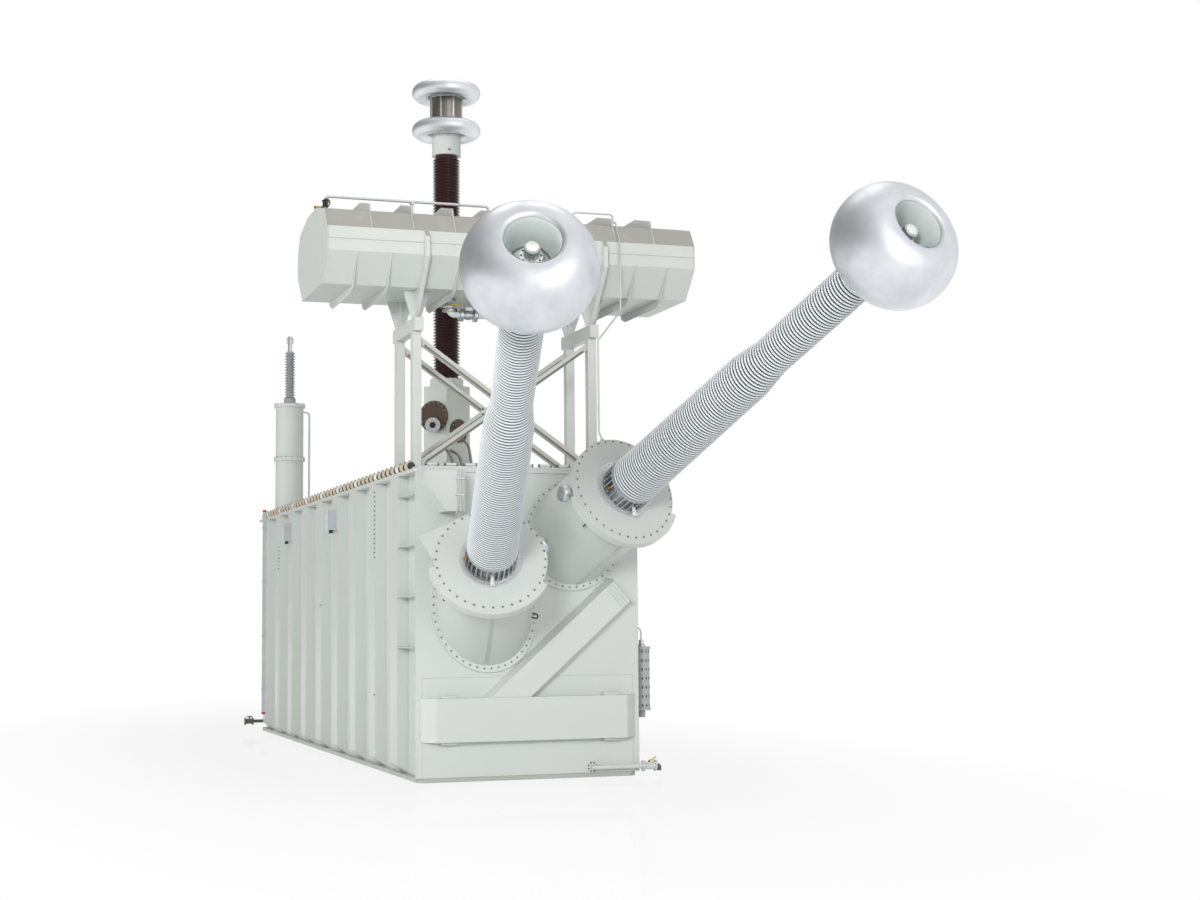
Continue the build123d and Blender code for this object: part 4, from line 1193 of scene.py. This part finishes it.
def makeOilRelay(look):
    length, radius, flange = look["body"]
    start = Vector((look["start"], middleOf("oil_pipe")[1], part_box("oil_pipe")[1][2] - look["drop"]))
    ends = [framed(start, rightward, rearward), framed(start + Vector((length, 0, 0)), leftward, rearward)]
    body, bolts = bmesh.new(), bmesh.new()
    flangedBody(body, ends[0], length, radius, flange)
    middle = start + Vector((length / 2, 0, radius + look["lid"][2] / 2 - look["lidSink"]))
    roundedBox(body, Matrix.Translation(middle), look["lid"], look["lidEdge"])
    addPiece("oilRelay", body, "castAluminium")
    for place in ends:
        boltRing(bolts, place, look["bolts"], bodyShape["flange"] * length)
    addBolts("oilRelayBolts", bolts)


drainLook = {
    "standOff": 0.12,  # of the front pipe from the wall
    "stemInset": 0.1,  # back from the pipe's end
    "stem": (0.07, 0.016),  # length, radius
    "lever": [(0, 0, 0), (0.05, 0, 0.01), (0.1, 0, 0.05)],
    "leverRadius": 0.011,
    "leverBend": 0.03,
    "elbow": [(-0.01, 0, 0), (0.05, 0, 0), (0.05, 0, -0.07)],
    "elbowRadius": 0.03,
    "elbowBend": 0.04,
    "bolts": (0.06, 8, 0.009),
    "boltStart": 0.39,  # radians
    "flanges": (0, 0.175),  # back from the pipe's end
    "wallFlange": (0.9, 0.025),  # across, and out from the wall
    "rearInset": 0.1,
    "rearStem": (0.09, 0.014),
    "rearWheel": (0.055, 0.008),  # radius, bar
}


def makeDrainValves(look):
    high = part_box("front_drain")[1]
    end = Vector((high[0], frontY - look["standOff"], middleOf("front_drain")[2]))
    metal, grip, bolts, wheel = (bmesh.new() for _ in range(4))
    length, radius = look["stem"]
    foot = end - Vector((look["stemInset"], 0, 0))
    tip = foot + Vector((0, 0, length))
    tube(metal, [foot, tip], radius, 12)
    lever = roundedPath([tip + Vector(step) for step in look["lever"]], look["leverBend"])
    tube(grip, lever, look["leverRadius"], 10)
    elbow = roundedPath([end + Vector(step) for step in look["elbow"]], look["elbowBend"])
    tube(metal, elbow, look["elbowRadius"], 14)
    faces = [framed(end - Vector((back, 0, 0)), rightward, rearward) for back in look["flanges"]]
    across, out = look["wallFlange"]
    faces.append(framed((across, frontY - out, end.z), frontward, rightward))
    for face in faces:
        boltRing(bolts, face, look["bolts"], 0, look["boltStart"])
    length, radius = look["rearStem"]
    foot = Vector((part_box("rear_drain")[0][0] + look["rearInset"], *middleOf("rear_drain")[1:]))
    tip = foot + Vector((0, 0, length))
    tube(metal, [foot, tip], radius, 12)
    handwheel(wheel, Matrix.Translation(tip), *look["rearWheel"])
    addPiece("drainStems", metal, "valveIron")
    addPiece("drainLever", grip, "yellowGrip")
    addBolts("drainBolts", bolts, "valveIron")
    addPiece("rearDrainWheel", wheel, "darkRubber")


makeVentValve(ventValve)
makeOilValve(oilValve)
makeOilRelay(relayLook)
makeDrainValves(drainLook)
print("valves ready")


# breather: rows of slots, head fitting, thin pipe to the wall and its dark back plate
breatherLook = {
    "radius": 0.115,
    "inset": 0.128,  # of its middle from the outer side
    "spout": 0.1,  # height of the stub below
    "rows": 7,
    "columns": 12,
    "slot": (0.036, 0.02, 0.008),
    "slotSink": 0.002,
    "slotEdge": 0.0035,
    "margin": 0.07,
    "head": [(0, 0), (0.06, 0), (0.06, 0.02), (0.035, 0.035), (0.035, 0.09), (0.02, 0.1), (0, 0.1)],
    "pipe": 0.011,
    "pipeFoot": 0.08,
    "pipeRise": 0.27,
    "pipeSlope": 0.05,
    "pipeBend": 0.09,
    "pipeSink": 0.01,  # into the tank's wall
    "plateGap": 0.02,
    "plateLevel": 0.24,
    "plate": (0.02, 0.17, 0.42),
    "rib": (0.024, 0.06, 0.42),
    "ribShift": 0.012,
    "plateEdge": 0.006,
}


def makeBreather(look):
    low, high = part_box("breather")
    radius, x, y = look["radius"], high[0] - look["inset"], (low[1] + high[1]) / 2
    bottom, top = low[2] + look["spout"], high[2]
    slots, head, plate = (bmesh.new() for _ in range(3))
    step = (top - bottom - 2 * look["margin"]) / (look["rows"] - 1)
    for row in range(look["rows"]):
        for turn in turnsOf(look["columns"], math.pi / look["columns"]):
            out = polar(1, turn)
            spot = Vector((x, y, bottom + look["margin"] + row * step)) + out * (radius - look["slotSink"])
            roundedBox(slots, framed(spot, out, upward), look["slot"], look["slotEdge"])
    lathe(head, look["head"], Matrix.Translation((x, y, top)), 20)
    wall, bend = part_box("tank_body")[1][0] - look["pipeSink"], top + look["pipeRise"]
    path = [(x, y, top + look["pipeFoot"]), (x, y, bend), (wall, y, bend + look["pipeSlope"])]
    tube(head, roundedPath(path, look["pipeBend"]), look["pipe"], 10)
    spot = Matrix.Translation((x - radius - look["plateGap"], y, bottom + look["plateLevel"]))
    roundedBox(plate, spot, look["plate"], look["plateEdge"])
    roundedBox(plate, spot @ Matrix.Translation((look["ribShift"], 0, 0)), look["rib"], look["plateEdge"])
    # dark plates in the slots: painted shade inside the openings
    addPiece("breatherSlotShade", slots, "darkRubber", 20)
    addPiece("breatherHead", head, "castAluminium")
    addPiece("breatherBackPlate", plate, "darkRubber")


makeBreather(breatherLook)


# cable duct: brackets and red end caps; lids and glands on the boxes; studs on the left stiffeners
ductLook = {
    "levels": (4.05, 2.98, 1.9, 0.85),  # of the brackets
    "bracket": (0.03, 0.24, 0.04),
    "bracketEdge": 0.006,
    "strap": 0.014,
    "strapOut": 0.004,
    "strapOver": 0.02,  # how much wider than the duct
    "strapEdge": 0.004,
    "boltInset": 0.035,
    "bolt": 0.012,
    "cap": 0.045,
    "capOver": 0.008,
    "capOut": 0.004,
    "capEdge": 0.008,
}
boxLook = {
    "width": 0.3,  # of one box
    "lid": 0.012,
    "lidOver": 0.02,
    "lidEdge": 0.004,
    "boltOffsets": (0.12, 0.13),  # across, up
    "bolt": 0.009,
    "glands": (-0.09, 0, 0.09),
    "gland": (0.018, 0, 0.05),  # radius, from, to
}
studLook = {
    "columns": [  # stiffener's index from the front, offset from its middle, top height, count
        (1, -0.18, 4.08, 15),
        (1, -0.18, 1.1, 1),
        (4, -0.18, 2.45, 1),
        (7, -0.18, 3.6, 7),
    ],
    "pitch": 0.069,
    "size": 0.011,
    "firstMiddle": 1.19,
    "stiffenerPitch": 1.45,
}


def makeDuctPieces(look):
    low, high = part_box("cable_duct")
    x, y, _ = middleOf("cable_duct")
    depth, width, height = look["bracket"]
    strap = (look["strap"], high[1] - low[1] + look["strapOver"], height)
    holders, caps = bmesh.new(), bmesh.new()
    for level in look["levels"]:
        back = Matrix.Translation((high[0] - depth / 2, y, level))
        roundedBox(holders, back, look["bracket"], look["bracketEdge"])
        front = Matrix.Translation((low[0] - look["strapOut"], y, level))
        roundedBox(holders, front, strap, look["strapEdge"])
        for sign in (-1, 1):
            spot = (high[0] - depth, y + sign * (width / 2 - look["boltInset"]), level)
            hexBolt(holders, framed(spot, leftward, rearward), look["bolt"])
    size = (high[0] - low[0] + look["capOver"], high[1] - low[1] + look["capOver"], look["cap"])
    inset = look["cap"] / 2 - look["capOut"]
    for level in (low[2] + inset, high[2] - inset):
        roundedBox(caps, Matrix.Translation((x, y, level)), size, look["capEdge"])
    addPiece("ductHolders", holders, "galvanizedSteel", 25)
    addPiece("ductCaps", caps, "redCap")


def makeBoxPieces(look):
    low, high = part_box("junction_boxes")
    x, _, z = middleOf("junction_boxes")
    lids, glands = bmesh.new(), bmesh.new()
    lid = (look["lid"], look["width"] + look["lidOver"], high[2] - low[2] + look["lidOver"])
    for y in (low[1] + look["width"] / 2, high[1] - look["width"] / 2):
        middle = Vector((low[0] - look["lid"] / 2, y, z))
        roundedBox(lids, Matrix.Translation(middle), lid, look["lidEdge"])
        for dy, dz in fourCorners(*look["boltOffsets"]):
            spot = middle + Vector((-look["lid"] / 2, dy, dz))
            hexBolt(lids, framed(spot, leftward, rearward), look["bolt"])
        for dy in look["glands"]:
            lathe(glands, disc(*look["gland"]), framed((x, y + dy, low[2]), (0, 0, -1), rightward), 12)
    addPiece("boxLids", lids, "paleLid", 25)
    addPiece("boxGlands", glands, "darkRubber")


def makeStuds(look):
    bm = bmesh.new()
    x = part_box("left_stiffeners")[0][0]
    for index, offset, top, count in look["columns"]:
        y = frontY + look["firstMiddle"] + index * look["stiffenerPitch"] + offset
        for i in range(count):
            hexBolt(bm, framed((x, y, top - i * look["pitch"]), leftward, rearward), look["size"])
    addBolts("wallStuds", bm, "darkRubber")


makeDuctPieces(ductLook)
makeBoxPieces(boxLook)
makeStuds(studLook)
print("wall fittings ready")


# line turret: bolts on its cover and flange, a hand cover, an open side flange and conduits down to the tank
lineBolts = {
    "coverTurn": -40,  # degrees from the front
    "coverFace": 0.015,
    "cover": (0.222, 16, 0.012),
    "flange": (0.245, 20, 0.013),
}
handCover = {
    "turn": 30,  # degrees from the front
    "reach": 0.2575,  # from the bushing's axis, just inside the turret's wall
    "height": 5.22,
    "radius": 0.19,
    "thickness": 0.035,
    "outline": [(1, 0), (1, 0.8), (0.96, 1), (0.7, 1), (0.66, 1.5), (0, 1.5)],  # shares of radius, thickness
    "bolts": (0.168, 12, 0.01),
}
sideFlange = {
    "place": (-0.36, -2.74, 5.27),
    "facing": (-0.3, -0.95, 0.05),
    "radius": 0.12,
    "thickness": 0.03,
    "bore": 0.05,
    "boreDepth": 0.02,
    "boreShade": (0.049, -0.019, -0.012),  # a dark disc of painted shade at the bore's bottom: radius, from, to
    "pipe": 0.065,
    "pipeLength": 0.36,
    "bolts": (0.09, 8, 0.013),
}
lineConduits = {
    "routes": [
        [(-0.12, -2.48, 4.95), (-0.1, -2.75, 4.85), (-0.02, -2.85, 4.55), (0.04, -2.8, 4.29)],
        [(-0.02, -2.52, 4.9), (0.06, -2.8, 4.8), (0.13, -2.85, 4.5), (0.16, -2.8, 4.29)],
        [(0.12, -2.52, 5.1), (0.22, -2.75, 5.0), (0.27, -2.8, 4.6), (0.27, -2.75, 4.29)],
    ],
    "bend": 0.14,
    "radius": 0.022,
}


def makeLineBolts(look):
    bm = bmesh.new()
    out = outward(look["coverTurn"])
    face = Vector(middleOf("branch_cover")) + out * look["coverFace"]
    boltRing(bm, framed(face, out, upward), look["cover"])
    x, y, _ = middleOf("line_bushing")
    boltRing(bm, Matrix.Translation((x, y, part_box("line_bushing")[0][2])), look["flange"])
    addBolts("lineTurretBolts", bm)


def makeHandCover(look):
    x, y, _ = middleOf("line_bushing")
    out = outward(look["turn"])
    place = framed(Vector((x, y, look["height"])) + out * look["reach"], out, upward)
    bm = bmesh.new()
    outline = [(r * look["radius"], z * look["thickness"]) for r, z in look["outline"]]
    lathe(bm, [(0, 0)] + outline, place, 48)
    addPiece("handCover", bm, "blankingCover")
    bm = bmesh.new()
    boltRing(bm, place, look["bolts"], look["thickness"])
    addBolts("handCoverBolts", bm)


def makeSideFlange(look):
    place = framed(look["place"], look["facing"], upward)
    radius, thick, bore, pipe = (look[key] for key in ("radius", "thickness", "bore", "pipe"))
    deep, back = -look["boreDepth"], -look["pipeLength"]
    bm = bmesh.new()
    ring = [(bore, deep), (bore, thick), (radius, thick), (radius, 0), (pipe, 0)]
    lathe(bm, ring + [(pipe, back), (0, back), (0, deep), (bore, deep)], place, 36)
    boltRing(bm, place, look["bolts"], thick)
    addPiece("sideFlange", bm, "castAluminium")
    bm = bmesh.new()
    # painted shade at the bottom of the open bore
    lathe(bm, disc(*look["boreShade"]), place, 24)
    addPiece("sideFlangeBoreShade", bm, "darkRubber")


def makeLineConduits(look):
    bm = bmesh.new()
    for route in look["routes"]:
        tube(bm, roundedPath(route, look["bend"]), look["radius"], 12)
    addPiece("lineConduits", bm, "zincBolt")


makeLineBolts(lineBolts)
makeHandCover(handCover)
makeSideFlange(sideFlange)
makeLineConduits(lineConduits)


# dark screen of painted shade and painted reflection between the two corona rings, with flat bars, and the
# plug on the collar
cageLook = {
    "ring": 0.26,  # height of one ring
    "overlap": 0.02,
    "radius": 0.262,
    "skin": 0.004,
    "bars": 8,
    "bar": (0.034, 0.012),  # width, thickness
    "barEdge": 0.004,
    "barStart": 0.2,  # radians
    "plug": 0.02,
    "plugReach": 0.235,
    "plugDrop": 0.23,  # below the rings
    "plugTurn": -2,  # degrees from the front
}


def makeRingCage(look):
    low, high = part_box("corona_rings")
    x, y, _ = middleOf("corona_rings")
    middle = Vector((x, y, 0))
    inset = look["ring"] - look["overlap"]
    bottom, top = low[2] + inset, high[2] - inset
    inner, outer = look["radius"] - look["skin"], look["radius"] + look["skin"]
    bm = bmesh.new()
    wall = [(inner, bottom), (outer, bottom), (outer, top), (inner, top)]
    lathe(bm, wall + wall[:1], Matrix.Translation(middle), 64)
    addPiece("ringShadeScreen", bm, "cageShadeMetal")
    bm = bmesh.new()
    for turn in turnsOf(look["bars"], look["barStart"]):
        out = polar(1, turn)
        spot = middle + out * outer + Vector((0, 0, (bottom + top) / 2))
        roundedBox(bm, framed(spot, out, upward), (top - bottom, *look["bar"]), look["barEdge"])
    addPiece("ringScreenBars", bm, "castAluminium")
    bm = bmesh.new()
    out = outward(look["plugTurn"])
    spot = middle + out * look["plugReach"] + Vector((0, 0, low[2] - look["plugDrop"]))
    hexBolt(bm, framed(spot, out, upward), look["plug"])
    addBolts("collarPlug", bm)


makeRingCage(cageLook)


# neutral bushing: flange bolts, the side pipe and a flat palm on the stud
neutralLook = {
    "bolts": (0.294, 16, 0.013),
    "levels": (0.07, 1.17, 2.255),
    "pipe": 0.02,
    "pipeRoute": [(0.24, -0.06, 2.1), (0.39, -0.06, 2.1), (0.39, -0.06, 0)],  # from the turret's foot
    "pipeBend": 0.08,
    "palm": (0.14, 0.03, 0.12),
    "palmDrop": 0.08,
    "palmEdge": 0.006,
}


def makeNeutralPieces(look):
    x, y, _ = middleOf("neutral_turret")
    foot = Vector((x, y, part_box("neutral_turret")[0][2]))
    bm = bmesh.new()
    for level in look["levels"]:
        boltRing(bm, Matrix.Translation(foot), look["bolts"], level)
    addBolts("neutralBolts", bm)
    bm = bmesh.new()
    route = [foot + Vector(stop) for stop in look["pipeRoute"]]
    tube(bm, roundedPath(route, look["pipeBend"]), look["pipe"], 12)
    x, y, _ = middleOf("neutral_terminal")
    place = Matrix.Translation((x, y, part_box("neutral_terminal")[1][2] - look["palmDrop"]))
    roundedBox(bm, place, look["palm"], look["palmEdge"])
    addPiece("neutralPipe", bm, "galvanizedSteel")


makeNeutralPieces(neutralLook)


# gantry: foot plates with bolts, plates at the braces' crossings, strips of painted shade along the braces,
# and the conservator's seam
gantryLook = {
    "legHalf": 0.065,
    "foot": (0.24, 0.24, 0.02),
    "footOffset": 0.09,  # of the bolts from the leg's middle
    "crossPlate": (0.15, 0.016, 0.13),
    "crossOut": 0.004,
    "crossOffsets": (0.05, 0.04),  # of the bolts, across and up
    "edge": 0.004,
    "bolt": 0.016,
}
# dark strips of painted shade along the braces' angles
shadeStripLook = {
    "lift": 1.770,  # how far a brace climbs
    "shorter": 0.16,  # than the brace
    "width": 0.03,
    "offset": -0.024,  # down from the brace's middle
    "thickness": 0.008,
    "edge": 0.003,
}
seamLook = {"radius": 0.006, "level": 0.58, "ends": (0.41, 0.75)}  # heights above the shell's bottom
braceNodes = ("front_brace", "back_brace")


def makeGantryPieces(look):
    low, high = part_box("gantry_legs")
    half, foot, away = look["legHalf"], look["foot"], look["footOffset"]
    plates, bolts = bmesh.new(), bmesh.new()
    for x in (low[0] + half, high[0] - half):
        for y in (low[1] + half, high[1] - half):
            roundedBox(plates, Matrix.Translation((x, y, low[2] + foot[2] / 2)), foot, look["edge"])
            for dx, dy in fourCorners(away, away):
                hexBolt(bolts, Matrix.Translation((x + dx, y + dy, low[2] + foot[2])), look["bolt"])
    for node in braceNodes:
        spot = Vector((0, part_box(node)[0][1] - look["crossOut"], middleOf(node)[2]))
        roundedBox(plates, Matrix.Translation(spot), look["crossPlate"], look["edge"])
        for dx, dz in fourCorners(*look["crossOffsets"]):
            face = spot + Vector((dx, -look["crossPlate"][1] / 2, dz))
            hexBolt(bolts, framed(face, frontward, rightward), look["bolt"])
    addPiece("gantryPlates", plates, "tankPaint")
    addBolts("gantryBolts", bolts)


def makeBraceShadeStrips(look):  # a dark strip of painted shade along each angle of the crossed braces
    bm = bmesh.new()
    for node in braceNodes:
        low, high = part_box(node)
        for sign in (-1, 1):
            run = Vector((high[0] - low[0], 0, sign * look["lift"]))
            down = Vector((-run.z, 0, run.x)).normalized() * look["offset"]
            middle = Vector((0, low[1], (low[2] + high[2]) / 2)) + down
            size = (run.length - look["shorter"], look["width"], look["thickness"])
            roundedBox(bm, framed(middle, frontward, run), size, look["edge"])
    addPiece("braceShadeStrips", bm, "braceStripShade")


def makeConservatorSeam(look):
    low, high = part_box("conservator_shell")
    level, (below, above) = low[2] + look["level"], look["ends"]
    bm = bmesh.new()
    for y in (low[1], high[1]):
        tube(bm, [Vector((low[0], y, level)), Vector((high[0], y, level))], look["radius"], 8)
    for x in (low[0], high[0]):
        for y in (low[1], high[1]):
            tube(bm, [Vector((x, y, low[2] + below)), Vector((x, y, low[2] + above))], look["radius"], 8)
    addPiece("conservatorSeam", bm, "weldSeam")


makeGantryPieces(gantryLook)
makeBraceShadeStrips(shadeStripLook)
makeConservatorSeam(seamLook)


# end plate and bands on the sloping branch of the front beam
branchLook = {
    "foot": (-0.64, 0.835),  # across and up on the front wall
    "top": (1.3, 2.565),
    "width": 0.375,
    "depth": 0.19,
    "plate": 0.022,
    "plateEdge": 0.005,
    "rim": 0.03,
    "bands": (0.05, 0.1, 0.15),  # distance back from the end
    "band": (0.024, 0.355, 0.014),
    "bandEdge": 0.004,
    "boltsAlong": (-0.15, -0.05, 0.05, 0.15),
    "boltsOut": (-0.05, 0.05),
    "bolt": 0.012,
}


def makeBranchEnd(look):
    (footX, footZ), (topX, topZ) = look["foot"], look["top"]
    run = Vector((topX - footX, 0, topZ - footZ)).normalized()
    place = framed((topX, frontY - look["depth"] / 2, topZ), run, frontward)
    bm = bmesh.new()
    size = (look["depth"] + look["rim"], look["width"] + 2 * look["rim"], look["plate"])
    spot = place @ Matrix.Translation((look["rim"] / 2, 0, look["plate"] / 2))
    roundedBox(bm, spot, size, look["plateEdge"])
    for back in look["bands"]:
        spot = place @ Matrix.Translation((look["depth"] / 2, 0, -back))
        roundedBox(bm, spot, look["band"], look["bandEdge"])
    for along in look["boltsAlong"]:
        for out in look["boltsOut"]:
            hexBolt(bm, place @ Matrix.Translation((out, along, look["plate"])), look["bolt"])
    addPiece("branchEnd", bm, "tankPaint", 25)


makeBranchEnd(branchLook)


# conduits down the sloping box
conduitLook = {
    "xs": (-1.12, -1.06),
    "radius": 0.014,
    "top": 4.19,
    "bottom": 3.66,
    "tail": (0.1, 0.06),  # back and down, into the box
    "bend": 0.05,
    "clips": (4.08, 3.86),
    "clip": (0.12, 0.036, 0.025),
    "clipOut": 0.012,
    "clipEdge": 0.006,
}


def makeConduits(look):
    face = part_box("slope_box")[0][1]
    y, bottom = face - look["radius"], look["bottom"]
    back, down = look["tail"]
    bm = bmesh.new()
    for x in look["xs"]:
        path = [(x, y, look["top"]), (x, y, bottom), (x, y + back, bottom - down)]
        tube(bm, roundedPath(path, look["bend"]), look["radius"], 12)
    middle = sum(look["xs"]) / 2
    for level in look["clips"]:
        spot = Matrix.Translation((middle, face - look["clipOut"], level))
        roundedBox(bm, spot, look["clip"], look["clipEdge"])
    addPiece("boxConduits", bm, "galvanizedSteel")


makeConduits(conduitLook)
